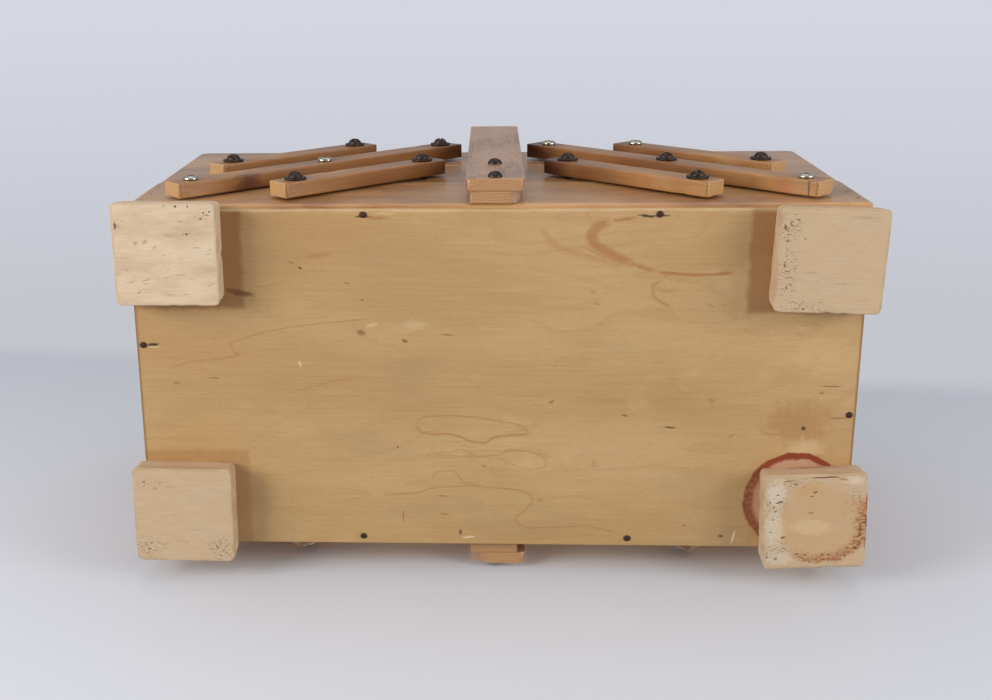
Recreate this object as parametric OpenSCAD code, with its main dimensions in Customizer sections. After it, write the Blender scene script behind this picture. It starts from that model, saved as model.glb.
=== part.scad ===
// Wooden cantilever sewing box: a deep base tray on four feet, two pairs of trays
// that spread to the left and right on wooden arms, and a rod handle on two posts.
// Millimetres. X runs from left to right, Y from the front linkage to the back one,
// Z up. The origin is the middle of the rectangle the feet stand on.

/* [Box] */
// Length of the base tray, left to right
box_l = 400; // [330:1:480]
// Depth of the base tray, front face to back face
box_d = 197.6; // [160:0.2:240]
// Height of the base tray's walls
base_h = 69.8; // [58:0.2:90]
// Thickness of the base tray's walls
base_wall = 10; // [9:0.5:13]
// Height of the middle trays
mid_h = 65.4; // [54:0.2:80]
// Height of the top trays with their lids
top_h = 57; // [47:0.5:72]
// Thickness of the middle and top trays' walls
tray_wall = 8; // [7:0.5:10]
// Thickness of the middle and top trays' bottoms
tray_bottom_t = 3; // [2:0.5:5]
// Gap between a closed tray and the tray below it
tray_gap = 0.6; // [0.4:0.1:1.5]
// How far the middle and top trays stand back from the base tray's face
tray_setback = 0.6; // [0.4:0.1:1.5]
// Width of the slot between the left and right trays, under the handle
centre_slot = 24; // [18:1:28]
// Rounding of the trays' outer edges
edge_r = 3.5; // [1:0.5:5]
// Rounding of the trays' upright outer corners
upright_r = 2; // [1:0.5:5]
// Rounding of the boards' lesser edges
small_r = 1; // [0.5:0.1:1.5]
// Rounding of the top trays' upper outer corners
top_corner_r = 9; // [3:0.5:9]

/* [Bottom plate and feet] */
// Thickness of the plywood bottom plate
plate_t = 4; // [3:0.5:6]
// How far the plate stands in from the front wall's face
plate_in_front = 2.4; // [0.5:0.1:3]
// How far the plate stands in from the back wall's face
plate_in_back = 0.5; // [0.5:0.1:3]
// How far the plate stands in from each end wall's face
plate_in_end = 1.3; // [0.5:0.1:3]
// Length of a foot, left to right
foot_l = 56; // [40:0.5:66]
// Depth of a foot, front to back
foot_d = 56; // [40:0.2:67]
// Height of a foot
foot_h = 17.4; // [12:0.2:24]
// Rounding of a foot's upright corners
foot_r = 3; // [1:0.5:6]
// How far a foot stands out past the end wall
foot_out_end = 2.9; // [0:0.1:4]
// How far a foot stands out past the front or back wall
foot_out_side = 3.5; // [0:0.1:4]
// How far each foot is turned: front left, front right, back left, back right
foot_turns = [0.2, 1.6, 0.7, -2.6]; // [-4:0.1:4]
// How far each foot is shifted along X, in the same order
foot_shift_x = [0, -0.2, 0.2, 1.6]; // [-3:0.1:3]
// How far each foot is shifted along Y, in the same order
foot_shift_y = [-1.6, 2.2, -0.1, 0.4]; // [-3:0.1:3]

/* [Nails] */
// Diameter of a nail head
nail_head_d = 3.8; // [3:0.1:4.5]
// Diameter of a nail's shank
nail_d = 1.8; // [1.2:0.1:2.4]
// Length of a nail's shank
nail_len = 24; // [18:1:30]
// How far a nail head stands proud of the plate
nail_proud = 0.9; // [0.5:0.1:1.5]
// Places of the front edge's nails along the length
front_nails_x = [-70.7, 87.2]; // [-150:0.1:150]
// Places of the back edge's nails along the length
back_nails_x = [-74.9, 75.9]; // [-150:0.1:150]
// Place of the left edge's nail along the depth
left_nail_y = -20.7; // [-40:0.1:40]
// Place of the right edge's nail along the depth
right_nail_y = 18.5; // [-40:0.1:40]
// Diameter of the headless pins that hold the base tray's corners
corner_pin_d = 1.6; // [1.2:0.1:2]
// Length of a corner pin
corner_pin_len = 26; // [20:1:32]
// Number of pins in each upright corner
corner_pins = 3; // [2:1:4]
// Place of a corner's first and last pin, in steps from the wall's edge
corner_pin_edge = 0.7; // [0.4:0.1:1]

/* [Arms] */
// Width of an arm
arm_w = 16; // [13:0.5:18]
// Thickness of an arm
arm_t = 8.5; // [7:0.5:10]
// Length of an arm past its outermost pivot
arm_end = 12.5; // [9:0.5:14]
// Rounding of an arm's corners
arm_r = 1.5; // [0.5:0.5:3]
// Gap between the base tray's face and an arm
arm_gap = 1; // [0.6:0.1:2]
// Distance from the box's end to a long arm's lowest pivot
long_pivot_in = 31; // [24:0.5:36]
// Distance from the centre slot to a long arm's highest pivot
long_pivot_top = 23; // [21:0.5:28]
// How much further out the lower short arm's upper pivot is than the long arm's
lower_arm_offset = 8.5; // [5:0.5:12]
// Distance from the box's end to the upper short arm's lower pivot
upper_pivot_in = 42.5; // [36:0.5:48]
// Height of the pivots above the bottom of the middle and top trays
pivot_rise = 20; // [16:0.5:24]

/* [Screws] */
// Diameter of a pivot screw's shank
shank_d = 4.2; // [3.5:0.1:5]
// How deep a screw goes into the base tray's wall
screw_grip = 6.5; // [5:0.5:7]
// Clearance round a shank in an arm that turns on it, on the radius
pivot_clearance = 0.05; // [0.02:0.01:0.1]
// Clearance round a shank in the last hole of each short arm, on the radius
open_pivot_clearance = 0.35; // [0.2:0.05:0.5]
// Play between an arm and the washer or head over it
side_play = 0.3; // [0.3:0.1:0.6]
// Diameter of a washer
washer_d = 12.4; // [10:0.2:14]
// Thickness of a washer
washer_t = 1; // [0.6:0.1:1.6]
// Diameter of a round head
dome_d = 8; // [7:0.2:9]
// Height of a round head
dome_h = 3.1; // [2.4:0.1:3.5]
// Diameter of a pan head
pan_d = 8.7; // [7.6:0.1:10]
// Height of a pan head
pan_h = 2.1; // [1.6:0.1:3]
// Rounding of a pan head's rim
pan_r = 0.9; // [0.4:0.1:1.2]
// Length of a pan head's two crossed slots
cross_slot_l = 4.4; // [3:0.2:6]
// Width of a head's slot
slot_w = 1; // [0.8:0.1:1.4]
// Depth of a head's slot
slot_depth = 1.1; // [0.6:0.1:1.4]

/* [Posts and handle] */
// Width of a post
post_w = 32; // [24:0.2:33]
// How far the back post stands off the middle, to the right
back_post_shift = 2.4; // [0:0.2:2.6]
// Thickness of a post
post_t = 6.8; // [6:0.2:9]
// Thickness of the spacer between a post and the base tray
spacer_t = 6.7; // [6:0.1:9]
// Width of a spacer
spacer_w = 27.6; // [20:0.2:28]
// How far a post stands up past the closed trays
handle_rise = 25.2; // [24:0.2:60]
// Rounding of a post's upper corners
post_r = 3; // [1:0.5:6]
// Heights of the two screws above a post's foot
post_screw_heights = [6.6, 51.6]; // [5:0.2:54]
// How deep a post screw goes into the base tray's wall
post_screw_grip = 8; // [6:0.5:8.5]
// Diameter of the handle rod
rod_d = 14; // [12:0.5:16]
// How deep the rod sits in each post
rod_seat = 4; // [3:0.5:5]
// Distance from the top of a post to the rod's centre
rod_drop = 8.6; // [8.5:0.1:12]

/* [Lids] */
// Thickness of a lid
lid_t = 6; // [5:0.5:8]
// Gap round a lid
lid_gap = 0.5; // [0.3:0.1:1]
// Distance from the box's end to the lid's outer edge
lid_in = 4; // [3:0.5:6]
// Diameter of a lid's hinge pins
lid_pin_d = 2.5; // [2:0.1:3]
// How far a hinge pin reaches into a lid
lid_pin_reach = 14; // [8:1:20]
// Room past the end of a hinge pin
lid_pin_room = 1; // [0.5:0.5:2]
// Diameter of a lid's knob
knob_d = 16; // [12:0.5:20]
// Height of a knob above its lid
knob_h = 13; // [10:0.5:16]
// Diameter of a knob's neck
knob_neck_d = 9.6; // [7:0.2:11]
// Height of a knob's widest part above its lid
knob_wide_z = 7.5; // [5:0.5:9]
// Height of the flat under a knob's ball
knob_flat_z = 2.6; // [1:0.2:4]
// Diameter of a knob's tenon
knob_tenon_d = 6; // [4:0.5:8]
// Distance from the lid's free edge to the knob's centre
knob_in = 26; // [20:1:40]

/* [Hidden] */
$fn = 64;

// Boards' upper and lower edges, counted up from the table
base_z = foot_h + plate_t;
base_top = base_z + base_h;
mid_z = base_top + tray_gap;
mid_top = mid_z + mid_h;
top_z = mid_top + tray_gap;
top_top = top_z + top_h;

// Outer faces
half_l = box_l / 2;
base_y = box_d / 2;
tray_y = base_y - tray_setback;
tray_in_x = centre_slot / 2;

// Linkage: every arm runs parallel to the long arm, and every segment is one step
step_z = mid_h + tray_gap;
long_low_x = half_l - long_pivot_in;
long_top_x = tray_in_x + long_pivot_top;
step_x = (long_low_x - long_top_x) / 2;
lower_top_x = long_top_x + lower_arm_offset;
upper_low_x = half_l - upper_pivot_in;
pivot_z = [mid_z + pivot_rise - step_z, mid_z + pivot_rise, top_z + pivot_rise];
step_len = norm([step_x, step_z]);
arm_angle = atan2(step_z, step_x);
arm_in_y = base_y + arm_gap;
arm_out_y = arm_in_y + arm_t;
washer_y = arm_out_y + side_play;
head_y = washer_y + washer_t;
shank_tip_y = base_y - screw_grip;

// Posts
post_in_y = base_y + spacer_t;
post_out_y = post_in_y + post_t;
post_top = top_top + handle_rise;
rod_z = post_top - rod_drop;

// Lids
lid_under = top_top - lid_t;
lid_pin_x = half_l - lid_in - lid_t / 2;
lid_pin_z = top_top - lid_t / 2;
lid_half_d = tray_y - tray_wall - lid_gap;
end_top = lid_under - side_play;

// Spacing of the pins in a corner
corner_pin_step = base_h / (corner_pins - 1 + 2 * corner_pin_edge);

// How far a cutting shape or a joining one reaches past the other piece's face
overrun = 1;

plywood = "#c39a5e";
board = "#b98d58";
raw_beech = "#dcc093";
arm_wood = "#a5703c";
dark_steel = "#3a332f";
bright_steel = "#b9b6a8";

// Everything is drawn on the right and at the back, where X and Y are positive,
// and is turned over to the other side where it is needed.
module on_left() {
    mirror([1, 0, 0]) children();
}

module on_front() {
    mirror([0, 1, 0]) children();
}

module both_sides() {
    children();
    mirror([1, 0, 0]) children();
}

module both_faces() {
    children();
    mirror([0, 1, 0]) children();
}

// A rectangle from [x0, y0] to [x1, y1] with its four corners rounded in turn:
// radii are given for the lower left, lower right, upper right and upper left.
module rounded(x0, y0, x1, y1, radii) {
    corner_x = [x0, x1, x1, x0];
    corner_y = [y0, y0, y1, y1];
    toward_x = [1, -1, -1, 1];
    toward_y = [1, 1, -1, -1];
    difference() {
        translate([x0, y0]) square([x1 - x0, y1 - y0]);
        for (i = [0 : 3]) {
            if (radii[i] > 0) {
                translate([corner_x[i], corner_y[i]])
                    scale([toward_x[i], toward_y[i]]) corner_waste(radii[i]);
            }
        }
    }
}

// What is cut off a square corner at the origin to round it
module corner_waste(r) {
    difference() {
        translate([-overrun, -overrun]) square(r + overrun);
        translate([r, r]) circle(r);
    }
}

// A shape drawn in X and Z, made into a board between two depths
module board_xz(y0, y1) {
    translate([0, y1, 0]) rotate([90, 0, 0]) linear_extrude(y1 - y0) children();
}

// A shape drawn in Y and Z, made into a board between two lengths
module board_yz(x0, x1) {
    translate([x0, 0, 0]) rotate([90, 0, 90]) linear_extrude(x1 - x0) children();
}

// A hole or a pin along Y
module rod_y(x, z, d, y0, y1) {
    translate([x, y1, z]) rotate([90, 0, 0]) cylinder(h = y1 - y0, d = d);
}

// A hole or a pin along X
module rod_x(y, z, d, x0, x1) {
    translate([x0, y, z]) rotate([0, 90, 0]) cylinder(h = x1 - x0, d = d);
}

// ---- Base tray ----

module nail_holes() {
    for (x = back_nails_x) {
        translate([x, base_y - base_wall / 2, 0]) nail_shank();
    }
    for (x = front_nails_x) {
        translate([x, base_wall / 2 - base_y, 0]) nail_shank();
    }
    translate([half_l - base_wall / 2, right_nail_y, 0]) nail_shank();
    translate([base_wall / 2 - half_l, left_nail_y, 0]) nail_shank();
}

module nail_shank() {
    translate([0, 0, foot_h]) cylinder(h = nail_len, d = nail_d);
}

module pin_row(y0, y1) {
    for (i = [0 : corner_pins - 1]) {
        rod_y(half_l - base_wall / 2, base_z + corner_pin_step * (i + corner_pin_edge),
              corner_pin_d, y0, y1);
    }
}

module corner_pin_set() {
    both_sides() both_faces() pin_row(base_y - corner_pin_len, base_y);
}

module base_pivot_shanks() {
    both_sides() both_faces() {
        rod_y(long_low_x, pivot_z[0], shank_d, shank_tip_y, base_y + overrun);
        rod_y(lower_top_x + step_x, pivot_z[0], shank_d, shank_tip_y, base_y + overrun);
    }
}

module post_shanks() {
    both_faces() for (h = post_screw_heights) {
        rod_y(0, base_z + h, shank_d, base_y - post_screw_grip, post_out_y);
    }
}

// The back wall; the front wall is the same board turned round
module base_long_wall() {
    intersection() {
        board_xz(base_y - base_wall, base_y)
            rounded(-half_l, base_z, half_l, base_top, [edge_r, edge_r, edge_r, edge_r]);
        board_yz(-half_l, half_l)
            rounded(base_y - base_wall, base_z, base_y, base_top, [0, edge_r, small_r, 0]);
        translate([0, 0, base_z]) linear_extrude(base_h)
            rounded(-half_l, base_y - base_wall, half_l, base_y, [0, 0, upright_r, upright_r]);
    }
}

module base_cuts() {
    difference() {
        children();
        nail_holes();
        corner_pin_set();
        base_pivot_shanks();
        post_shanks();
    }
}

module base_back_wall() {
    color(board) base_cuts() base_long_wall();
}

module base_front_wall() {
    color(board) base_cuts() on_front() base_long_wall();
}

module base_end_wall() {
    board_xz(base_wall - base_y, base_y - base_wall)
        rounded(half_l - base_wall, base_z, half_l, base_top, [0, edge_r, edge_r, 0]);
}

module base_right_wall() {
    color(board) base_cuts() base_end_wall();
}

module base_left_wall() {
    color(board) base_cuts() on_left() base_end_wall();
}

module bottom_plate() {
    color(plywood) difference() {
        translate([0, 0, foot_h]) linear_extrude(plate_t)
            rounded(plate_in_end - half_l, plate_in_front - base_y,
                    half_l - plate_in_end, base_y - plate_in_back,
                    [small_r, small_r, small_r, small_r]);
        nail_holes();
    }
}

module bottom_nails() {
    color(dark_steel) {
        nail_holes();
        translate([0, 0, foot_h - nail_proud]) {
            for (x = back_nails_x) {
                translate([x, base_y - base_wall / 2, 0]) nail_head();
            }
            for (x = front_nails_x) {
                translate([x, base_wall / 2 - base_y, 0]) nail_head();
            }
            translate([half_l - base_wall / 2, right_nail_y, 0]) nail_head();
            translate([base_wall / 2 - half_l, left_nail_y, 0]) nail_head();
        }
    }
}

module nail_head() {
    cylinder(h = nail_proud, d = nail_head_d);
}

module base_corner_pins() {
    color(dark_steel) corner_pin_set();
}

// ---- Feet ----

// One foot, placed by its outer corner and turned a little as it was glued on
module foot(i, side_x, side_y) {
    foot_x = side_x * (half_l + foot_out_end - foot_l / 2);
    foot_y = side_y * (base_y + foot_out_side - foot_d / 2);
    color(raw_beech)
        translate([foot_x + foot_shift_x[i], foot_y + foot_shift_y[i], 0])
        rotate([0, 0, foot_turns[i]])
        linear_extrude(foot_h)
        rounded(-foot_l / 2, -foot_d / 2, foot_l / 2, foot_d / 2,
                [foot_r, foot_r, foot_r, foot_r]);
}

module foot_front_left() {
    foot(0, -1, -1);
}

module foot_front_right() {
    foot(1, 1, -1);
}

module foot_back_left() {
    foot(2, -1, 1);
}

module foot_back_right() {
    foot(3, 1, 1);
}

// ---- Posts and handle ----

// The screws and the rod stay in the middle, even where the post doesn't
module post(shift) {
    color(board) difference() {
        board_xz(post_in_y, post_out_y)
            rounded(shift - post_w / 2, base_z, shift + post_w / 2, post_top,
                    [small_r, small_r, post_r, post_r]);
        rod_y(0, rod_z, rod_d, 0, post_in_y + rod_seat);
        post_shanks();
    }
}

module back_post() {
    post(back_post_shift);
}

module front_post() {
    on_front() post(0);
}

module post_spacers() {
    color(board) both_faces() difference() {
        board_xz(base_y, post_in_y)
            rounded(-spacer_w / 2, base_z, spacer_w / 2, base_top - edge_r,
                    [small_r, small_r, small_r, small_r]);
        post_shanks();
    }
}

module post_screws() {
    color(dark_steel) {
        post_shanks();
        both_faces() for (h = post_screw_heights) {
            translate([0, post_out_y, base_z + h]) dome_head();
        }
    }
}

module handle_rod() {
    color(board) rod_y(0, rod_z, rod_d, -post_in_y - rod_seat, post_in_y + rod_seat);
}

// ---- Screws and washers, with their heads towards +Y ----

// A round head with one slot
module dome_head() {
    ball_r = (dome_d * dome_d / 4 + dome_h * dome_h) / (2 * dome_h);
    difference() {
        intersection() {
            translate([0, dome_h - ball_r, 0]) sphere(ball_r);
            rod_y(0, 0, dome_d, 0, dome_h + overrun);
        }
        translate([-slot_w / 2, dome_h - slot_depth, -dome_d])
            cube([slot_w, dome_h, 2 * dome_d]);
    }
}

// A pan head with a cross of two slots
module pan_head() {
    difference() {
        rotate([-90, 0, 0]) rotate_extrude() union() {
            square([pan_d / 2, pan_h - pan_r]);
            square([pan_d / 2 - pan_r, pan_h]);
            translate([pan_d / 2 - pan_r, pan_h - pan_r]) circle(pan_r);
        }
        for (turn = [45, 135]) {
            rotate([0, turn, 0])
                translate([-slot_w / 2, pan_h - slot_depth, -cross_slot_l / 2])
                cube([slot_w, pan_h, cross_slot_l]);
        }
    }
}

// A dark screw over a washer, or a bright one without
module pivot_screw(x, z, bright) {
    under = bright ? washer_y : head_y;
    rod_y(x, z, shank_d, shank_tip_y, under);
    translate([x, under, z]) {
        if (bright) {
            pan_head();
        } else {
            dome_head();
        }
    }
}

module washer(x, z) {
    difference() {
        rod_y(x, z, washer_d, washer_y, head_y);
        rod_y(x, z, shank_d, 0, head_y + overrun);
    }
}

module base_pivot_screws() {
    color(dark_steel) both_sides() {
        both_faces() pivot_screw(lower_top_x + step_x, pivot_z[0], false);
        pivot_screw(long_low_x, pivot_z[0], false);
        on_front() pivot_screw(long_low_x, pivot_z[0], true);
    }
}

module base_pivot_washers() {
    color(dark_steel) both_sides() {
        both_faces() washer(lower_top_x + step_x, pivot_z[0]);
        washer(long_low_x, pivot_z[0]);
    }
}

module mid_shanks() {
    both_faces() for (x = [long_top_x + step_x, lower_top_x, upper_low_x]) {
        rod_y(x, pivot_z[1], shank_d, shank_tip_y, base_y + overrun);
    }
}

module top_shanks() {
    both_faces() for (x = [long_top_x, upper_low_x - step_x]) {
        rod_y(x, pivot_z[2], shank_d, shank_tip_y, base_y + overrun);
    }
}

module mid_screws(bright_long) {
    color(dark_steel) {
        both_faces() {
            pivot_screw(lower_top_x, pivot_z[1], false);
            pivot_screw(upper_low_x, pivot_z[1], false);
        }
        pivot_screw(long_top_x + step_x, pivot_z[1], false);
        on_front() pivot_screw(long_top_x + step_x, pivot_z[1], bright_long);
    }
}

module mid_washers(bright_long) {
    color(dark_steel) {
        both_faces() {
            washer(lower_top_x, pivot_z[1]);
            washer(upper_low_x, pivot_z[1]);
        }
        washer(long_top_x + step_x, pivot_z[1]);
        if (!bright_long) {
            on_front() washer(long_top_x + step_x, pivot_z[1]);
        }
    }
}

module top_screws(bright_front) {
    color(dark_steel) for (x = [long_top_x, upper_low_x - step_x]) {
        pivot_screw(x, pivot_z[2], false);
        on_front() pivot_screw(x, pivot_z[2], bright_front);
    }
}

module top_washers(bright_front) {
    color(dark_steel) for (x = [long_top_x, upper_low_x - step_x]) {
        washer(x, pivot_z[2]);
        if (!bright_front) {
            on_front() washer(x, pivot_z[2]);
        }
    }
}

module left_mid_pivot_screws() {
    on_left() mid_screws(true);
}

module left_mid_pivot_washers() {
    on_left() mid_washers(true);
}

module left_top_pivot_screws() {
    on_left() top_screws(false);
}

module left_top_pivot_washers() {
    on_left() top_washers(false);
}

module right_mid_pivot_screws() {
    mid_screws(false);
}

module right_mid_pivot_washers() {
    mid_washers(false);
}

module right_top_pivot_screws() {
    top_screws(true);
}

module right_top_pivot_washers() {
    top_washers(true);
}

// ---- Arms ----

// An arm from its lower pivot up towards the centre, over one or two steps.
// The last hole of a short arm is the linkage's open pivot.
module arm(low_x, low_z, steps, last_clearance) {
    color(arm_wood) difference() {
        translate([low_x, 0, low_z]) mirror([1, 0, 0]) rotate([0, -arm_angle, 0])
            board_xz(arm_in_y, arm_out_y)
            rounded(-arm_end, -arm_w / 2, steps * step_len + arm_end, arm_w / 2,
                    [arm_r, arm_r, arm_r, arm_r]);
        for (i = [0 : steps]) {
            clearance = i == steps ? last_clearance : pivot_clearance;
            rod_y(low_x - i * step_x, low_z + i * step_z, shank_d + 2 * clearance, 0, head_y);
        }
    }
}

module long_arm() {
    arm(long_low_x, pivot_z[0], 2, pivot_clearance);
}

module lower_arm() {
    arm(lower_top_x + step_x, pivot_z[0], 1, open_pivot_clearance);
}

module upper_arm() {
    arm(upper_low_x, pivot_z[1], 1, open_pivot_clearance);
}

module left_front_long_arm() {
    on_left() on_front() long_arm();
}

module left_back_long_arm() {
    on_left() long_arm();
}

module left_front_lower_arm() {
    on_left() on_front() lower_arm();
}

module left_back_lower_arm() {
    on_left() lower_arm();
}

module left_front_upper_arm() {
    on_left() on_front() upper_arm();
}

module left_back_upper_arm() {
    on_left() upper_arm();
}

module right_front_long_arm() {
    on_front() long_arm();
}

module right_back_long_arm() {
    long_arm();
}

module right_front_lower_arm() {
    on_front() lower_arm();
}

module right_back_lower_arm() {
    lower_arm();
}

module right_front_upper_arm() {
    on_front() upper_arm();
}

module right_back_upper_arm() {
    upper_arm();
}

// ---- Middle and top trays ----

module tray_long_wall(z0, z1, top_r) {
    intersection() {
        board_xz(tray_y - tray_wall, tray_y)
            rounded(tray_in_x, z0, half_l, z1, [small_r, edge_r, top_r, small_r]);
        board_yz(tray_in_x, half_l)
            rounded(tray_y - tray_wall, z0, tray_y, z1, [0, small_r, small_r, 0]);
        translate([0, 0, z0]) linear_extrude(z1 - z0)
            rounded(tray_in_x, tray_y - tray_wall, half_l, tray_y,
                    [0, 0, upright_r, small_r]);
    }
}

module mid_long_wall() {
    color(board) difference() {
        tray_long_wall(mid_z, mid_top, edge_r);
        mid_shanks();
    }
}

module top_long_wall() {
    color(board) difference() {
        tray_long_wall(top_z, top_top, top_corner_r);
        top_shanks();
        lid_pin_set();
    }
}

module tray_end_walls(z0, z1, top_r) {
    color(board) {
        board_xz(tray_wall - tray_y, tray_y - tray_wall)
            rounded(half_l - tray_wall, z0, half_l, z1, [0, edge_r, top_r, 0]);
        board_xz(tray_wall - tray_y, tray_y - tray_wall)
            rounded(tray_in_x, z0, tray_in_x + tray_wall, z1, [small_r, 0, 0, small_r]);
    }
}

module tray_bottom(z0) {
    color(plywood) translate([tray_in_x + tray_wall, tray_wall - tray_y, z0])
        cube([half_l - tray_in_x - 2 * tray_wall, 2 * (tray_y - tray_wall), tray_bottom_t]);
}

module left_mid_front_wall() {
    on_left() on_front() mid_long_wall();
}

module left_mid_back_wall() {
    on_left() mid_long_wall();
}

module left_mid_end_walls() {
    on_left() tray_end_walls(mid_z, mid_top, edge_r);
}

module left_mid_bottom() {
    on_left() tray_bottom(mid_z);
}

module left_top_front_wall() {
    on_left() on_front() top_long_wall();
}

module left_top_back_wall() {
    on_left() top_long_wall();
}

module left_top_end_walls() {
    on_left() tray_end_walls(top_z, end_top, small_r);
}

module left_top_bottom() {
    on_left() tray_bottom(top_z);
}

module right_mid_front_wall() {
    on_front() mid_long_wall();
}

module right_mid_back_wall() {
    mid_long_wall();
}

module right_mid_end_walls() {
    tray_end_walls(mid_z, mid_top, edge_r);
}

module right_mid_bottom() {
    tray_bottom(mid_z);
}

module right_top_front_wall() {
    on_front() top_long_wall();
}

module right_top_back_wall() {
    top_long_wall();
}

module right_top_end_walls() {
    tray_end_walls(top_z, end_top, small_r);
}

module right_top_bottom() {
    tray_bottom(top_z);
}

// ---- Lids ----

module lid_pin_set() {
    both_faces() rod_y(lid_pin_x, lid_pin_z, lid_pin_d, lid_half_d - lid_pin_reach, tray_y);
}

// The lid lies between the long walls and turns on the pins near its outer edge
module lid() {
    color(plywood) difference() {
        board_xz(-lid_half_d, lid_half_d)
            rounded(tray_in_x, lid_under, half_l - lid_in, top_top,
                    [small_r, lid_t / 2, lid_t / 2, small_r]);
        both_faces() rod_y(lid_pin_x, lid_pin_z, lid_pin_d + 2 * pivot_clearance,
                           lid_half_d - lid_pin_reach - lid_pin_room, tray_y);
        translate([tray_in_x + knob_in, 0, 0]) cylinder(h = top_top + overrun, d = knob_tenon_d);
    }
}

// A turned knob: a neck under a flattened ball, on a tenon through the lid
module lid_knob() {
    color(board) translate([tray_in_x + knob_in, 0, top_top]) {
        translate([0, 0, -lid_t]) cylinder(h = lid_t + overrun, d = knob_tenon_d);
        cylinder(h = knob_wide_z, d = knob_neck_d);
        intersection() {
            translate([0, 0, knob_wide_z]) sphere(knob_d / 2);
            translate([0, 0, knob_flat_z]) cylinder(h = knob_h - knob_flat_z, d = knob_d);
        }
    }
}

module left_lid() {
    on_left() lid();
}

module left_lid_knob() {
    on_left() lid_knob();
}

module left_lid_pins() {
    color(dark_steel) on_left() lid_pin_set();
}

module right_lid() {
    lid();
}

module right_lid_knob() {
    lid_knob();
}

module right_lid_pins() {
    color(dark_steel) lid_pin_set();
}

base_front_wall();
base_back_wall();
base_left_wall();
base_right_wall();
bottom_plate();
bottom_nails();
base_corner_pins();
foot_front_left();
foot_front_right();
foot_back_left();
foot_back_right();
front_post();
back_post();
post_spacers();
post_screws();
handle_rod();
base_pivot_screws();
base_pivot_washers();
left_mid_front_wall();
left_mid_back_wall();
left_mid_end_walls();
left_mid_bottom();
left_top_front_wall();
left_top_back_wall();
left_top_end_walls();
left_top_bottom();
left_front_long_arm();
left_back_long_arm();
left_front_lower_arm();
left_back_lower_arm();
left_front_upper_arm();
left_back_upper_arm();
left_mid_pivot_screws();
left_mid_pivot_washers();
left_top_pivot_screws();
left_top_pivot_washers();
left_lid();
left_lid_knob();
left_lid_pins();
right_mid_front_wall();
right_mid_back_wall();
right_mid_end_walls();
right_mid_bottom();
right_top_front_wall();
right_top_back_wall();
right_top_end_walls();
right_top_bottom();
right_front_long_arm();
right_back_long_arm();
right_front_lower_arm();
right_back_lower_arm();
right_front_upper_arm();
right_back_upper_arm();
right_mid_pivot_screws();
right_mid_pivot_washers();
right_top_pivot_screws();
right_top_pivot_washers();
right_lid();
right_lid_knob();
right_lid_pins();
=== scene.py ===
import math
import random

import bmesh
import bpy
import numpy as np
from mathutils import Matrix, Vector, noise


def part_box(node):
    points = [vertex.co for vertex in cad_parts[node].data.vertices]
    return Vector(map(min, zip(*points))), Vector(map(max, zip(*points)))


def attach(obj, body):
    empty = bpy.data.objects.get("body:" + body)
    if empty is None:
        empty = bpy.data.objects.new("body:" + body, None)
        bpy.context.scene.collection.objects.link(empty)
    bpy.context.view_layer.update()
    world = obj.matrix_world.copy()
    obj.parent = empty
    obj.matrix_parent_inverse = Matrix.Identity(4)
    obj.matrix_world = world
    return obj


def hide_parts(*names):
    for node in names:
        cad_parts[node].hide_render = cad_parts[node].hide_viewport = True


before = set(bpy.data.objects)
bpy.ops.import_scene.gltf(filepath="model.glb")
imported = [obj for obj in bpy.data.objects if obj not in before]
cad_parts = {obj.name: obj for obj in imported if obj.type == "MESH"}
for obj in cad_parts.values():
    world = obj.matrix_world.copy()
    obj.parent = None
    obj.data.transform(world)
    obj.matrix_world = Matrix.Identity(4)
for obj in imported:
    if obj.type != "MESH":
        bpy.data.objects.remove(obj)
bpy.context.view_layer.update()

mm = 0.001

# ---------------------------------------------------------------------------
# The studio: a pale tent with soft lamps on both sides and one above. The box
# lies on its back side, and the camera looks at its underside.
# ---------------------------------------------------------------------------

lens_mm = 47.5
sensor_mm = 36.0
lens_shift = (0.0692, -0.0046)
camera_place = Vector((-0.002774, -0.227959, -0.671237))
camera_yaw, camera_pitch, camera_roll = 2.84, 16.72, -0.67
tent_white_low = (0.657, 0.672, 0.753, 1)
tent_white_high = (0.546, 0.560, 0.610, 1)
tent_low_y, tent_high_y = 0.05, 0.25
tent_light = (0.90, 0.94, 1.0, 1)
tent_strength = 0.44
floor_y = 0.1156
floor_far_z = 0.40
floor_far_slope = 0.12
floor_far_soft = 0.03
# name, place, aim, width, height, watts, colour
lamps = [
    ("lamp_left", (-1.05, -0.42, -0.62), (-0.02, 0.0, 0.08), 0.55, 0.70, 12.6, (1.0, 0.985, 0.96)),
    ("lamp_right", (1.10, -0.36, -0.52), (0.02, 0.0, 0.08), 0.55, 0.70, 8.9, (1.0, 0.985, 0.96)),
    ("lamp_above", (0.0, -1.25, 0.25), (0.0, 0.0, 0.10), 1.10, 0.80, 3.8, (0.97, 0.98, 1.0)),
    ("lamp_behind", (0.2, 1.5, 0.9), (0.0, 0.0, 0.10), 1.20, 0.90, 9.0, (1.0, 0.99, 0.97)),
]

scene = bpy.context.scene
scene.view_settings.view_transform = "Standard"

camera_data = bpy.data.cameras.new("camera")
camera_data.lens = lens_mm
camera_data.sensor_width = sensor_mm
camera_data.shift_x, camera_data.shift_y = lens_shift
camera_data.clip_start, camera_data.clip_end = 0.01, 50
camera_data.dof.use_dof = False
camera = bpy.data.objects.new("camera", camera_data)
scene.collection.objects.link(camera)
looking = (
    Matrix.Rotation(math.radians(camera_roll), 3, "Z")
    @ Matrix.Rotation(math.radians(camera_pitch), 3, "X")
    @ Matrix.Rotation(math.radians(camera_yaw), 3, "Y")
)
facing = looking.transposed() @ Matrix.Diagonal((1, -1, -1))
camera.matrix_world = Matrix.Translation(camera_place) @ facing.to_4x4()
scene.camera = camera

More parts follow.
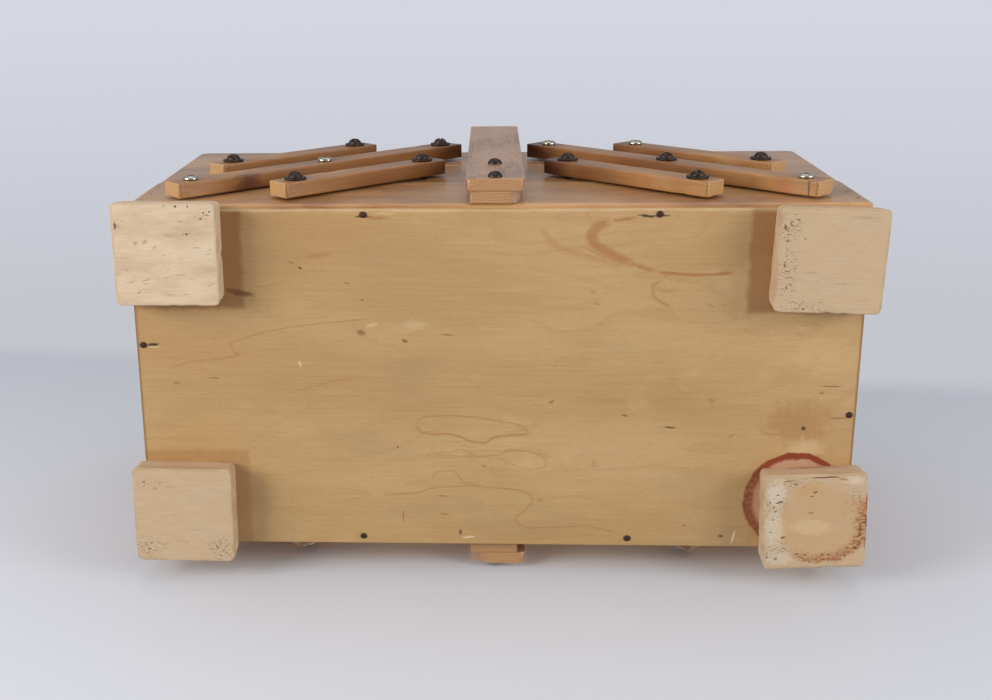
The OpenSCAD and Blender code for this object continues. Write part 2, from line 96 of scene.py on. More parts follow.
for name, place, aim, width, height, watts, colour in lamps:
    lamp_data = bpy.data.lights.new(name, "AREA")
    lamp_data.shape = "RECTANGLE"
    lamp_data.size, lamp_data.size_y = width, height
    lamp_data.energy = watts
    lamp_data.color = colour
    lamp = bpy.data.objects.new(name, lamp_data)
    scene.collection.objects.link(lamp)
    lamp.location = place
    lamp.rotation_euler = (Vector(aim) - Vector(place)).to_track_quat("-Z", "Y").to_euler()
    lamp.visible_camera = False


class Nodes:
    """A node tree, with short ways to add to it."""

    def __init__(self, tree):
        self.tree = tree

    def add(self, kind, inputs=(), **settings):
        made = self.tree.nodes.new("ShaderNode" + kind)
        for setting, value in settings.items():
            setattr(made, setting, value)
        for socket, value in inputs:
            self.set(made.inputs[socket], value)
        return made

    def set(self, socket, value):
        if isinstance(value, bpy.types.NodeSocket):
            self.tree.links.new(value, socket)
        else:
            socket.default_value = value

    def sum(self, how, *values):
        return self.add("Math", enumerate(values), operation=how).outputs[0]

    def times(self, value, by, plus=0.0):
        return self.sum("MULTIPLY_ADD", value, by, plus)

    def vector(self, how, *values):
        made = self.add("VectorMath", enumerate(values), operation=how)
        return made.outputs["Value" if how == "LENGTH" else "Vector"]

    def axes(self, vector):
        return self.add("SeparateXYZ", [(0, vector)]).outputs[:]

    def fade(self, value, none_at, full_at, low=0.0, high=1.0):
        """Goes smoothly from low, where value is none_at, to high, where it is full_at."""
        return self.add("MapRange", [
            ("Value", value), ("From Min", none_at), ("From Max", full_at),
            ("To Min", low), ("To Max", high),
        ], interpolation_type="SMOOTHSTEP").outputs[0]

    def band(self, value, none_from, full_from, full_to, none_to):
        """A strip: fades in between the first two values, and out between the last two."""
        return self.times(self.fade(value, none_from, full_from), self.fade(value, none_to, full_to))


# The tent's cloth gives an even light, and shows as a slightly darker plain white.
world = bpy.data.worlds.new("tent")
scene.world = world
world.use_nodes = True
tent = Nodes(world.node_tree)
cloth = tent.tree.nodes["Background"]
tent.set(cloth.inputs["Color"], tent_light)
tent.set(cloth.inputs["Strength"], tent_strength)
view_y = tent.axes(tent.add("TexCoord").outputs["Generated"])[1]
height = tent.add("MapRange", [("Value", view_y), ("From Min", tent_low_y), ("From Max", tent_high_y)])
shade = tent.add("Mix", data_type="RGBA")
for place, value in ((0, height.outputs[0]), (6, tent_white_low), (7, tent_white_high)):
    tent.set(shade.inputs[place], value)
cloth_seen = tent.add("Background", [("Color", shade.outputs[2])])
camera_ray = tent.add("LightPath").outputs["Is Camera Ray"]
cloth_mix = tent.add("MixShader", [(0, camera_ray), (1, cloth.outputs[0]), (2, cloth_seen.outputs[0])])
tent.set(tent.tree.nodes["World Output"].inputs["Surface"], cloth_mix.outputs[0])


class Finish(Nodes):
    """A finish built up in layers: bare wood or metal, then grain, stains, wear and varnish."""

    def __init__(self, name):
        self.material = bpy.data.materials.new(name)
        self.material.use_nodes = True
        super().__init__(self.material.node_tree)
        self.shader = self.tree.nodes["Principled BSDF"]
        self.object_space = self.add("TexCoord").outputs["Object"]
        self.colour = self.normal = None

    def space(self, cell, centre=(0, 0, 0), turn=(0, 0, 0)):
        """Coordinates counted in cells of the given size, from a centre, along turned axes."""
        return self.add("Mapping", [
            ("Vector", self.object_space), ("Location", centre),
            ("Rotation", [math.radians(a) for a in turn]), ("Scale", cell),
        ], vector_type="TEXTURE").outputs[0]

    def noise(self, cell, detail=2.0, rough=0.5, at=(0, 0, 0), turn=(0, 0, 0), twist=0.0, output=0):
        return self.add("TexNoise", [
            ("Vector", self.space(cell, at, turn)), ("Scale", 1.0), ("Detail", detail),
            ("Roughness", rough), ("Distortion", twist),
        ]).outputs[output]

    def wobble(self, cell, amount, detail=2.0):
        """A vector that shifts a mark's outline about, so that it isn't a clean oval."""
        centred = self.vector("SUBTRACT", self.noise([cell] * 3, detail, output=1), (0.5, 0.5, 0.5))
        return self.add("VectorMath", [(0, centred), ("Scale", amount)], operation="SCALE").outputs[0]

    def rings(self, value, count, plus=0.0):
        """Runs from 0 to 1 again and again, as growth rings do."""
        return self.sum("FRACT", self.times(value, count, plus))

    def area(self, centre, size, turn=(0, 0, 0), ragged=None):
        """Coordinates over a mark given in mm: 0 at its centre, and 1 where its size ends."""
        space = self.space(Vector(size) * mm, Vector(centre) * mm, turn)
        return space if ragged is None else self.vector("ADD", space, ragged)

    def oval(self, *mark, **more):
        """How far it is from a round or long mark's centre: 1 on its outline."""
        return self.vector("LENGTH", self.area(*mark, **more))

    def square(self, *mark, **more):
        """The same for a square mark."""
        x, y, _ = self.axes(self.vector("ABSOLUTE", self.area(*mark, **more)))
        return self.sum("MAXIMUM", x, y)

    def spot(self, centre, size, turn=(0, 0, 0), soft=0.5, ragged=None):
        """A round or long mark: 1 in its middle, 0 outside its size."""
        return self.fade(self.oval(centre, size, turn, ragged), 1.0, 1.0 - soft)

    def base(self, *stops, by):
        """The wood's or metal's own colours, spread along by."""
        made = self.add("ValToRGB", [("Fac", by)])
        points = made.color_ramp.elements
        while len(points) < len(stops):
            points.new(0.5)
        for point, (at, colour) in zip(points, stops):
            point.position = at
            point.color = paint(colour)
        self.colour = made.outputs[0]

    def layer(self, colour, mask, strength=1.0):
        """Lays a colour over what is there, where the mask is."""
        self.colour = self.add("Mix", [
            (0, self.sum("MULTIPLY", mask, strength)), (6, self.colour), (7, paint(colour)),
        ], data_type="RGBA").outputs[2]

    def marks(self, rows, deep, soft, ragged):
        """Small marks, each x, y, half length, half width, turn, strength, colour."""
        for x, y, long, wide, turn, strength, colour in rows:
            mark = self.spot((x, y, 0), (long, wide, deep), (0, 0, turn), soft, ragged)
            self.layer(colour, mark, strength)

    def relief(self, height, depth):
        """Raises or sinks the surface a little, depth in millimetres."""
        made = self.add("Bump", [("Height", height), ("Distance", depth * mm), ("Strength", 1.0)])
        if self.normal is not None:
            self.set(made.inputs["Normal"], self.normal)
        self.normal = made.outputs["Normal"]

    def done(self, rough, metal=0.0, coat=0.0, coat_rough=0.2, specular=0.5):
        for socket, value in (
            ("Base Color", self.colour), ("Roughness", rough), ("Metallic", metal),
            ("Coat Weight", coat), ("Coat Roughness", coat_rough), ("Specular IOR Level", specular),
        ):
            self.set(self.shader.inputs[socket], value)
        if self.normal is not None:
            self.set(self.shader.inputs["Normal"], self.normal)
        return self.material


def paint(hex_colour):
    """A colour written as on a paint chart, as linear light."""
    made = []
    for i in (1, 3, 5):
        c = int(hex_colour[i:i + 2], 16) / 255
        made.append(c / 12.92 if c <= 0.04045 else ((c + 0.055) / 1.055) ** 2.4)
    return (*made, 1)


def studio_floor(name, corners, fade_axis, fade_from, fade_to):
    """A one-sided white sheet that fades out towards its far edge."""
    finish = Finish(name)
    finish.base((0.3, "#cdcfd6"), (0.7, "#d0d2d9"), by=finish.noise((0.5, 0.5, 0.5)))
    surface = finish.done(0.7)
    if fade_axis == "round":
        along = finish.vector("LENGTH", finish.object_space)
    else:
        x, _, z = finish.axes(finish.object_space)
        along = finish.times(x, floor_far_slope, z)
    front = finish.sum("SUBTRACT", 1.0, finish.add("NewGeometry").outputs["Backfacing"])
    shown = finish.add("MixShader", [
        (0, finish.times(front, finish.fade(along, fade_to, fade_from))),
        (1, finish.add("BsdfTransparent").outputs[0]), (2, finish.shader.outputs[0]),
    ])
    finish.set(finish.tree.nodes["Material Output"].inputs["Surface"], shown.outputs[0])
    bm = bmesh.new()
    bm.faces.new([bm.verts.new(c) for c in corners])
    mesh = bpy.data.meshes.new(name)
    bm.to_mesh(mesh)
    bm.free()
    mesh.materials.append(surface)
    sheet = bpy.data.objects.new(name, mesh)
    scene.collection.objects.link(sheet)
    sheet.visible_diffuse = sheet.visible_glossy = False
    sheet.visible_shadow = sheet.visible_transmission = False


# Under the box as it lies, facing the front linkage
studio_floor("floor_lying", [
    (-3, floor_y, -2), (3, floor_y, -2), (3, floor_y, 0.9), (-3, floor_y, 0.9),
], "Z", floor_far_z - floor_far_soft, floor_far_z + floor_far_soft)
# Under the box's feet, for the other views
studio_floor("floor_upright", [(-4, -4, 0), (4, -4, 0), (4, 4, 0), (-4, 4, 0)], "round", 2.0, 3.6)

# ---------------------------------------------------------------------------
# The base tray's walls: sawn boards about 10 mm thick, butted at the corners,
# rounded outside and brushed with a thin, uneven orange varnish.
# ---------------------------------------------------------------------------

grain_along_x = (0, 0, 0)
grain_along_y = (0, 0, 90)
grain_along_z = (0, 90, 0)
# the base tray's long walls' outer faces, from the middle
base_face = 98.8
# the front wall's pins near its right end: x and z in mm
wall_pins = [(191.4, 67.5), (193.1, 53.1), (195.5, 37.4)]


def coat_node(finish, *nodes):
    """Gives CAD nodes that keep their own shape a finish."""
    for name in nodes:
        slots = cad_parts[name].data.materials
        slots.clear()
        slots.append(finish)


def timber(name, turn, light, middle, dark, ring_gap, lean=0.55, shift=(0, 0, 0), fibre=1.0, ring=0.16):
    """Solid wood: growth rings cut lengthwise, long fibres and short pores, grain along turned X."""
    finish = Finish(name)
    drift = finish.noise((0.11, 0.016, 0.016), 3, 0.55, shift, turn)
    _, y, z = finish.axes(finish.space((1, ring_gap * mm, ring_gap * mm), shift, turn))
    rings = finish.rings(drift, 9.0, finish.times(z, lean, y))
    strands = finish.noise((0.020, 0.0006, 0.0006), 3, 0.65, shift, turn)
    patches = finish.noise((0.07, 0.03, 0.03), 2, 0.5, shift, turn)
    finish.base((0.42, dark), (0.62, middle), (0.86, light), by=finish.times(
        finish.band(rings, 0.15, 0.92, 0.93, 1.0), -ring, finish.times(strands, 0.42 * fibre, patches)))
    pores = finish.noise((0.0042, 0.00030, 0.00030), 1, 0.5, shift, turn)
    finish.layer(dark, finish.fade(pores, 0.66, 0.78), 0.55)
    finish.relief(strands, 0.05)
    finish.relief(finish.fade(pores, 0.78, 0.62), 0.06)
    return finish


wall_finish = timber("varnished_base_board", grain_along_x, "#bf925f", "#ad7c4a", "#895b32", 4.5,
                     fibre=0.8, ring=0.08)
grime = wall_finish.noise((0.09, 0.03, 0.02), 4, 0.6)
wall_finish.layer("#7a4a2c", wall_finish.fade(grime, 0.55, 0.75), 0.28)
for pin_x, pin_z in wall_pins:
    pin_stain = wall_finish.spot((pin_x, -base_face, pin_z), (1.5, 3, 1.6), soft=0.6)
    wall_finish.layer("#4a2f20", pin_stain, 0.85)
coat_node(wall_finish.done(0.42, coat=0.55, coat_rough=0.28), "base_front_wall", "base_back_wall")
end_finish = timber("varnished_base_end_board", grain_along_y, "#c79a66", "#b5844f", "#8d5f34", 4.2,
                    shift=(0.3, 0, 0))
coat_node(end_finish.done(0.42, coat=0.5, coat_rough=0.3), "base_left_wall", "base_right_wall")

# ---------------------------------------------------------------------------
# The bottom: one sheet of thin plywood with a rotary-cut face, nailed on under
# the walls. Its front edge is chipped, and damp has left stains and a ring.
# ---------------------------------------------------------------------------

plate_low, plate_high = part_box("bottom_plate")
plate_cell = 1.5 * mm
plate_edge = 0.4 * mm
plate_wave = 0.05 * mm
splinter_reach, splinter_depth = 1.6 * mm, 0.9 * mm
# glue squeezed out round the feet, with painted shadow of the feet laid over it: centre's x and y in mm,
# and strength
foot_glue_and_shadow = [(-170, -73, 0.70), (168.5, -71, 0.65), (-172, 73, 0.35), (176, 77, 0.12)]
# The figure in the face, as lines: half width, strength, and points along it in mm
figure_lines = [
    (1.6, 0.95, [(75.1, -92.0), (60.4, -89.6), (54.1, -88.0), (50.0, -83.7), (51.2, -78.5), (56.0, -74.8),
                 (64.1, -70.9), (73.3, -66.7), (83.6, -63.4), (92.7, -61.8), (107.6, -60.7),
                 (128.2, -61.8)]),
    (4.8, 0.85, [(62, -90), (55, -87), (52, -83), (52.5, -79), (57, -75), (65, -71), (74, -67)]),
    (2.2, 0.50, [(65, -71), (77.6, -65.6), (88.4, -62.6)]),
    (1.6, 0.60, [(89.6, -57.9), (85.0, -54.6), (85.7, -48.5), (90.1, -45.7), (96.2, -41.8)]),
    (1.2, 0.50, [(99.5, -52.4), (93.1, -51.3), (87.2, -52.4)]),
    (3.0, 0.35, [(23.9, -87.0), (33.1, -76.1), (50.8, -70.6), (69.6, -65.6)]),
    (0.8, 0.60, [(48.1, -95.0), (49.3, -91.3)]),
    (0.9, 0.55, [(-44.5, 24.5), (-41.6, 22.1), (-37.7, 20.6), (-23.7, 20.0), (-11.4, 20.8), (2.5, 23.1),
                 (13.7, 25.2), (17.6, 27.7), (20.7, 30.7)]),
    (1.1, 0.70, [(-44.5, 24.5), (-41.7, 29.7), (-34.4, 31.3), (-25.4, 30.7), (-18.7, 32.7), (-12.5, 35.7),
                 (-4.7, 36.2), (-0.2, 32.6), (9.3, 31.4), (20.7, 30.7)]),
    (0.8, 0.50, [(-39.6, 44.9), (-31.7, 42.1), (-23.8, 41.6), (-19.9, 39.9), (-14.2, 41.1), (-9.7, 44.5),
                 (2.6, 43.4), (7.7, 40.7), (18.3, 40.9), (26.2, 43.2), (29.0, 46.8), (29.1, 50.5),
                 (20.1, 52.3)]),
    (0.7, 0.40, [(-39.6, 44.9), (-26.7, 45.1), (-17.6, 44.6), (1.5, 45.2), (9.4, 48.8), (20.1, 52.3)]),
    (0.9, 0.40, [(-34.7, 60.1), (-34.1, 54.6), (-28.4, 53.1), (-22.2, 53.0), (-19.9, 56.3), (-17.7, 59.9),
                 (-8.1, 61.1)]),
    (0.9, 0.50, [(-65.1, 68.9), (-55.3, 67.6), (-44.5, 66.9), (-36.5, 64.1), (-28.5, 62.9), (-12.6, 62.3),
                 (2.7, 63.4), (15.7, 64.6), (20.9, 67.6), (22.0, 71.3), (17.0, 78.1), (11.9, 81.9),
                 (14.2, 86.2), (20.5, 88.0), (36.5, 87.2), (52.4, 86.2), (71.2, 90.6)]),
    (0.8, 0.50, [(-180.4, -7.6), (-168.3, -11.5), (-152.0, -12.7), (-142.3, -15.1), (-145.5, -18.5),
                 (-146.4, -22.3), (-137.3, -24.9), (-127.1, -28.6), (-111.5, -31.3), (-93.7, -33.6),
                 (-69.9, -35.9)]),
    (0.8, 0.30, [(-116.5, 7.7), (-105.7, 4.7), (-91.5, 0.3), (-76.9, -2.5)]),
    (0.8, 0.35, [(-134.2, -54.0), (-124.3, -54.5), (-115.4, -56.5)]),
    (2.5, 0.50, [(-102.8, -70.7), (-95.7, -71.8), (-87.5, -72.4)]),
    (1.0, 0.45, [(144.8, 24.8), (149.8, 29.9), (156, 29.9), (162, 31.5)]),
    (1.2, 0.12, [(151.1, 24.6), (156.0, 14.6), (167.6, 9.9), (179.9, 14.5), (186.1, 24.4), (184.5, 33.2)]),
]
# Small marks: x, y, half length, half width, turn in degrees, strength, colour
plate_marks = [
    (-105.7, -64.6, 1.6, 0.9, 30, 0.9, "#5c3a1c"), (-110.0, -67.4, 4.0, 1.2, 25, 0.35, "#8a5a2c"),
    (-177.6, 1.5, 3.0, 0.7, -8, 0.6, "#7a4e24"), (-156.3, -1.6, 4.6, 0.6, 2, 0.6, "#7a4e24"),
    (-73.4, -28.2, 3.6, 2.2, 10, 0.75, "#7d5730"), (-80.4, -56.2, 2.4, 0.8, 5, 0.5, "#7a4e24"),
    (-72.4, -46.7, 1.2, 0.8, 0, 0.6, "#6c4524"), (31.8, 11.7, 2.4, 1.0, -30, 0.7, "#7a5228"),
    (72.3, 19.5, 2.6, 0.9, 15, 0.8, "#74491e"), (97.4, 26.4, 5.0, 0.8, 4, 0.95, "#54320f"),
    (-54.3, 39.0, 1.0, 0.9, 0, 0.7, "#6c4524"), (-5.8, 50.1, 1.3, 0.9, 20, 0.6, "#6c4524"),
    (-29.4, 68.6, 3.2, 0.6, 2, 0.7, "#7a4e24"), (-28.0, 79.8, 3.4, 0.6, 3, 0.7, "#7a4e24"),
    (-19.2, 90.7, 1.6, 2.6, 0, 0.8, "#5e3b1a"), (-51.8, 81.2, 0.8, 5.0, 2, 0.5, "#6c4524"),
    (26.0, 70.6, 2.6, 1.6, 0, 0.45, "#b9722c"), (56.0, 48.4, 2.0, 3.5, 0, 0.3, "#8a6a44"),
    (184.3, 2.0, 9.0, 0.6, 2, 0.75, "#6b4726"), (179.2, 5.8, 2.2, 1.2, -20, 0.5, "#7a5a36"),
    (119.7, 10.7, 3.0, 2.0, 30, 0.35, "#8a6a44"), (131.5, 31.2, 2.4, 0.8, -35, 0.5, "#7a5a36"),
    (107.8, 85.6, 1.1, 0.9, 0, 0.6, "#6c4524"), (128.7, 91.9, 1.6, 1.3, 0, 0.8, "#52351a"),
    (170.7, 26.5, 2.0, 1.8, 0, 0.95, "#4f3012"), (-49.3, -23.4, 2.6, 1.4, 20, 0.7, "#5c3d1e"),
    (-25.6, -26.9, 5.0, 0.7, 6, 0.6, "#6a4a28"), (117.0, -43.5, 3.6, 0.6, 20, 0.4, "#8a5a2c"),
    (52.9, -51.2, 1.6, 0.9, 0, 0.45, "#8a5a2c"), (55.2, -44.5, 3.0, 0.7, 20, 0.45, "#8a5a2c"),
    (-107.9, -9.9, 1.0, 2.6, -15, 0.75, "#e3c79a"), (-67.3, -32.5, 5.0, 1.4, -10, 0.45, "#d9c29a"),
    (-43.7, -32.5, 9.0, 4.0, 5, 0.35, "#cdb48c"), (-14.4, 94.0, 5.0, 0.9, -6, 0.7, "#e6d0a6"),
    (135.7, 92.4, 0.7, 5.5, 12, 0.8, "#efdcb8"), (-58.8, -94.4, 8.0, 0.9, 2, 0.4, "#e0c190"),
    (-63.0, -92.0, 9.0, 1.5, 0, 0.55, "#a65c26"), (-70.7, -92.8, 6.0, 0.9, 0, 0.9, "#3a2012"),
    (80.5, -92.8, 6.5, 1.1, 6, 0.95, "#2c1a10"), (88.0, -93.0, 6.5, 0.8, 0, 0.9, "#3a2a1e"),
    (-189.6, -20.9, 5.0, 1.3, -4, 0.95, "#2c160c"), (-189.0, -19.6, 5.0, 0.7, 3, 0.7, "#d6b98c"),
    (189.5, 20.4, 8.0, 0.5, 0, 0.6, "#6b4726"),
]


def move(bm, by, verts=None):
    bmesh.ops.translate(bm, vec=by, verts=verts or bm.verts)


bm = bmesh.new()
plate_size = plate_high - plate_low
plate_middle = (plate_high + plate_low) / 2
across_cells, deep_cells = round(plate_size.x / plate_cell), round(plate_size.y / plate_cell)
bmesh.ops.create_grid(bm, x_segments=across_cells, y_segments=deep_cells, size=0.5)
bmesh.ops.scale(bm, vec=(plate_size.x, plate_size.y, 1), verts=bm.verts)
move(bm, (plate_middle.x, plate_middle.y, plate_low.z))
bmesh.ops.reverse_faces(bm, faces=bm.faces)
rim = [e for e in bm.edges if e.is_boundary]
risen = bmesh.ops.extrude_edge_only(bm, edges=rim)["geom"]
move(bm, (0, 0, plate_size.z), [v for v in risen if isinstance(v, bmesh.types.BMVert)])
bmesh.ops.holes_fill(bm, edges=[e for e in bm.edges if e.is_boundary], sides=0)
bmesh.ops.recalc_face_normals(bm, faces=bm.faces)
lower_rim = [
    e for e in bm.edges
    if not e.is_boundary and e.calc_face_angle(0) > 1 and max(v.co.z for v in e.verts) < plate_low.z + mm
]
bmesh.ops.bevel(bm, geom=lower_rim, offset=plate_edge, offset_type="OFFSET", segments=2,
                profile=0.5, affect="EDGES", material=-1)
for vertex in bm.verts:
    # splinters are gone along the front edge, and the rest is slightly wavy
    wave = plate_wave * noise.noise(vertex.co * 45)
    splinter = max(0, noise.noise(Vector((vertex.co.x * 260, 3.1, 0))) - 0.25)
    near_front = max(0, 1 - (vertex.co.y - plate_low.y) / splinter_reach)
    if vertex.co.z < plate_low.z + mm:
        vertex.co.z += wave + splinter_depth * near_front * splinter
plate_mesh = bpy.data.meshes.new("plywood_bottom")
bm.to_mesh(plate_mesh)
bm.free()

# Each point of the face learns how far it is from the nearest figure line, and which side.
spots_xy = np.array([v.co[:2] for v in plate_mesh.vertices]) / mm
nearest = np.full(len(spots_xy), 1e9)
side_of_line = np.full(len(spots_xy), 9.0)
strength_of_line = np.zeros(len(spots_xy))
for half_width, strength, points in figure_lines:
    ends = np.array(points, float)
    total = np.linalg.norm(np.diff(ends, axis=0), axis=1).sum()
    passed = 0.0
    for start, stop in zip(ends[:-1], ends[1:]):
        run = stop - start
        length = np.linalg.norm(run)
        offset = spots_xy - start
        reached = offset @ run / length ** 2
        share = np.clip(reached, 0, 1)
        apart = np.linalg.norm(offset - share[:, None] * run, axis=1) / half_width
        side = np.where(run[0] * offset[:, 1] - run[1] * offset[:, 0] >= 0, 1.0, -1.0)
        place = (passed + share * length) / total
        # a line thins out over its last 5 mm, and reaches 4 mm past its width
        taper = np.clip(np.minimum(place, 1 - place) * total / 5.0 + 0.15, 0, 1)
        fall = np.clip((4.0 / half_width + 1.5 - apart) / 1.5, 0, 1)
        inside = (reached > -0.05) & (reached < 1.05) | (place > 0.02) & (place < 0.98)
        closer = apart < nearest
        nearest[closer] = apart[closer]
        side_of_line[closer] = (apart * side)[closer]
        strength_of_line[closer] = (strength * taper * fall * inside)[closer]
        passed += length
for attribute_name, values in (("figure_side", side_of_line), ("figure_strength", strength_of_line)):
    attribute = plate_mesh.attributes.new(attribute_name, "FLOAT", "POINT")
    attribute.data.foreach_set("value", values.astype(np.float32))


def settle(name, mesh_or_bm, finish, body, nodes=(), sharp=35):
    """Makes the piece an object, gives it its finish, and fixes it to its CAD body."""
    mesh = mesh_or_bm
    if isinstance(mesh_or_bm, bmesh.types.BMesh):
        mesh = bpy.data.meshes.new(name)
        mesh_or_bm.to_mesh(mesh)
        mesh_or_bm.free()
    mesh.shade_smooth()
    mesh.set_sharp_from_angle(angle=math.radians(sharp))
    mesh.materials.append(finish)
    piece = bpy.data.objects.new(name, mesh)
    scene.collection.objects.link(piece)
    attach(piece, body)
    if nodes:
        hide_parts(*nodes)


ply = Finish("plywood_bottom_face")
broad = ply.noise((0.16, 0.045, 0.05), 3, 0.5)
rings = ply.rings(ply.noise((0.20, 0.060, 0.05), 3, 0.45, (0.4, 0.2, 0)), 13.0)
streaks = ply.noise((0.035, 0.0011, 0.004), 3, 0.6)
dust = ply.noise((0.0032, 0.0007, 0.004), 2, 0.6)
cloudy = ply.noise((0.05, 0.03, 0.05), 4, 0.6, (0.1, 0.7, 0))
ply.base((0.38, "#b28b58"), (0.50, "#bb9663"), (0.62, "#c39f6e"),
         by=ply.times(streaks, 0.24, ply.times(broad, 0.55, 0.105)))
ply.layer("#a3763f", ply.band(rings, 0.60, 0.97, 0.97, 1.0), ply.fade(broad, 0.40, 0.62, 0.02, 0.16))
ply.layer("#95703f", ply.fade(dust, 0.54, 0.76), 0.30)
ply.layer("#a88a63", ply.fade(cloudy, 0.55, 0.72), 0.35)
ply.layer("#d8b988", ply.fade(cloudy, 0.42, 0.28), 0.25)
outline = ply.wobble(0.004, 0.9)
fine_outline = ply.wobble(0.0016, 0.8)
# the drawn figure: sharp on one side of each line, fading on the other
line_side = ply.add("Attribute", attribute_name="figure_side").outputs["Fac"]
line_strength = ply.add("Attribute", attribute_name="figure_strength").outputs["Fac"]
teeth = ply.sum("SUBTRACT", ply.noise((0.006, 0.0007, 0.004), 2, 0.6), 0.5)
line_mask = ply.band(ply.times(teeth, 0.9, line_side), -0.75, -0.15, 0.1, 1.15)
ply.layer("#a0622a", ply.times(line_mask, line_strength), 0.70)
# damp stain round the knot, the dark ring, and glue round the feet darkened further as painted shadow cast
# by the feet
ply.layer("#a4763f", ply.spot((168, 24, 0), (23, 17, 1000), soft=0.6, ragged=outline), 0.50)
ply.layer("#d2b48a", ply.spot((172, 39, 0), (15, 9, 1000), soft=0.8, ragged=outline), 0.6)
plate_x, plate_y, _ = ply.axes(ply.object_space)
ring_far = ply.oval((168.6, 69.5, 0), (27.5, 27.5, 1000), ragged=ply.wobble(0.007, 0.10))
ply.layer("#c4987c", ply.fade(ring_far, 1.0, 0.92), 0.75)
ring_top = ply.fade(plate_y, 62 * mm, 46 * mm)
ring_body = ply.times(ply.fade(ply.times(ring_top, -0.06, ring_far), 0.79, 0.90),
                      ply.fade(ring_far, 1.06, 1.01))
ring_grit = ply.noise((0.0018, 0.0018, 0.0018), 3, 0.7)
ply.layer("#85391a", ply.times(ring_body, ply.fade(ring_grit, 0.30, 0.60, 0.65, 1.0)), 0.95)
ply.layer("#86300e", ply.times(ring_top, ply.band(ring_far, 0.88, 0.94, 1.01, 1.05)), 0.90)
# painted shadow cast by each foot on the plate, laid together with the glue squeezed out round it
for foot_x, foot_y, glue_and_shadow_strength in foot_glue_and_shadow:
    glue_and_shadow = ply.square((foot_x, foot_y, 0), (33.5, 32, 1000), ragged=ply.wobble(0.006, 0.10))
    ply.layer("#8f5a2c", ply.fade(glue_and_shadow, 1.04, 0.92), glue_and_shadow_strength)
ply.layer("#6e3818", ply.spot((-139, -50.5, 0), (9.5, 2.6, 1000), (0, 0, 12), 0.6, outline), 0.75)
# a darker strip along both ends, and bare fibres along the front edge
ply.layer("#7c5228", ply.fade(ply.sum("ABSOLUTE", plate_x), 196.6 * mm, 198.2 * mm), 0.7)
front_fibres = ply.times(ply.noise((0.012, 0.002, 0.01), 3, 0.6), 0.004, plate_y)
ply.layer("#d8bd90", ply.fade(front_fibres, -92.6 * mm, -95.0 * mm), 0.5)
ply.marks(plate_marks, 1000, 0.7, fine_outline)
# the cut edges show the plies
ply_height = ply.axes(ply.space((1, 1, 1.33 * mm), (0, 0, plate_low.z)))[2]
ply_line = ply.fade(ply.sum("PINGPONG", ply_height, 0.5), 0.44, 0.5)
ply.layer("#6f4a26", ply.times(ply_line, ply.fade(ply_height, 0.25, 0.45)), 0.7)
ply.relief(streaks, 0.05)
ply.relief(dust, 0.04)
plywood_face = ply.done(ply.fade(streaks, 0.3, 0.7, 0.50, 0.60), coat=0.12, coat_rough=0.35)
settle("plywood_bottom", plate_mesh, plywood_face, "base", ["bottom_plate"])

# ---------------------------------------------------------------------------
# The bottom's nails: six wire nails with hammered heads that stand a little
# proud, gone brown, and the headless pins that hold the base tray's corners.
# ---------------------------------------------------------------------------

nail_places = [(-70.7, -93.8), (87.2, -93.8), (-74.9, 93.8), (75.9, 93.8), (-195.0, -20.7), (195.0, 18.5)]
nail_head_radius = 1.9 * mm
nail_head_rise = 0.9 * mm
nail_head_dents = 0.16 * mm
nail_shank_radius = 0.9 * mm
nail_length = 24 * mm


def spin(bm, axis, degrees, verts=None):
    bmesh.ops.rotate(bm, cent=(0, 0, 0), matrix=Matrix.Rotation(math.radians(degrees), 3, axis),
                     verts=verts or bm.verts)


def add_rod(bm, radius, length, segments, tip_radius=None):
    """A plain rod upright about the origin; its lower end may be pointed."""
    return bmesh.ops.create_cone(bm, cap_ends=True, segments=segments, depth=length, radius2=radius,
                                 radius1=radius if tip_radius is None else tip_radius)["verts"]


def mottled(name, cell, detail, rough, *stops, shine, metal, dents=None, dirt=None):
    """Metal whose colour and roughness, low to high in shine, change over its cells."""
    finish = Finish(name)
    mottle = finish.noise(cell, detail, rough)
    finish.base(*stops, by=mottle)
    if dirt:
        finish.layer(dirt, finish.fade(finish.noise((0.0012, 0.0012, 0.0012), 3, 0.7), 0.58, 0.72), 0.7)
    if dents:
        finish.relief(mottle, dents)
    return finish.done(finish.fade(mottle, 0.3, 0.7, *shine), metal=metal)


rusty_nail = mottled("rusty_nail", (0.0009, 0.0009, 0.0009), 3, 0.7, (0.3, "#33201c"), (0.55, "#4b2f26"),
                     (0.8, "#6d4630"), shine=(0.45, 0.8), metal=0.55, dents=0.12)

noise.seed_set(7)
bm = bmesh.new()
for i, (x, y) in enumerate(nail_places):
    head = bmesh.ops.create_uvsphere(bm, u_segments=18, v_segments=10, radius=nail_head_radius)["verts"]
    squashed = (1.12 - 0.05 * (i % 3), 0.94 + 0.04 * (i % 2), nail_head_rise / nail_head_radius)
    bmesh.ops.scale(bm, vec=squashed, verts=head)
    for v in head:
        v.co += nail_head_dents * noise.noise_vector(v.co * 900 + Vector((i * 7, 0, 0)))
    move(bm, (x * mm, y * mm, plate_low.z), head)
    shank = add_rod(bm, nail_shank_radius, nail_length, 12, nail_shank_radius * 0.3)
    spin(bm, "X", 180, shank)
    move(bm, (x * mm, y * mm, plate_low.z + nail_length / 2), shank)
for v in bm.verts:
    v.co.z = max(v.co.z, plate_low.z - nail_head_rise)
settle("wire_nails", bm, rusty_nail, "base", ["bottom_nails"])
coat_node(rusty_nail, "base_corner_pins")

# ---------------------------------------------------------------------------
# The feet: four square blocks of raw beech, glued on a little out of square.
# Their edges are knocked, and the back right one has stood in something wet.
# ---------------------------------------------------------------------------

foot_mm = Vector((56, 56, 17.4))
foot_size = foot_mm * mm
foot_corner = 3.0 * mm
foot_edge = 0.6 * mm
# how far the front side and the inner side lean in towards the plate
foot_lean_front, foot_lean_inner = 2.3 * mm, 0.9 * mm
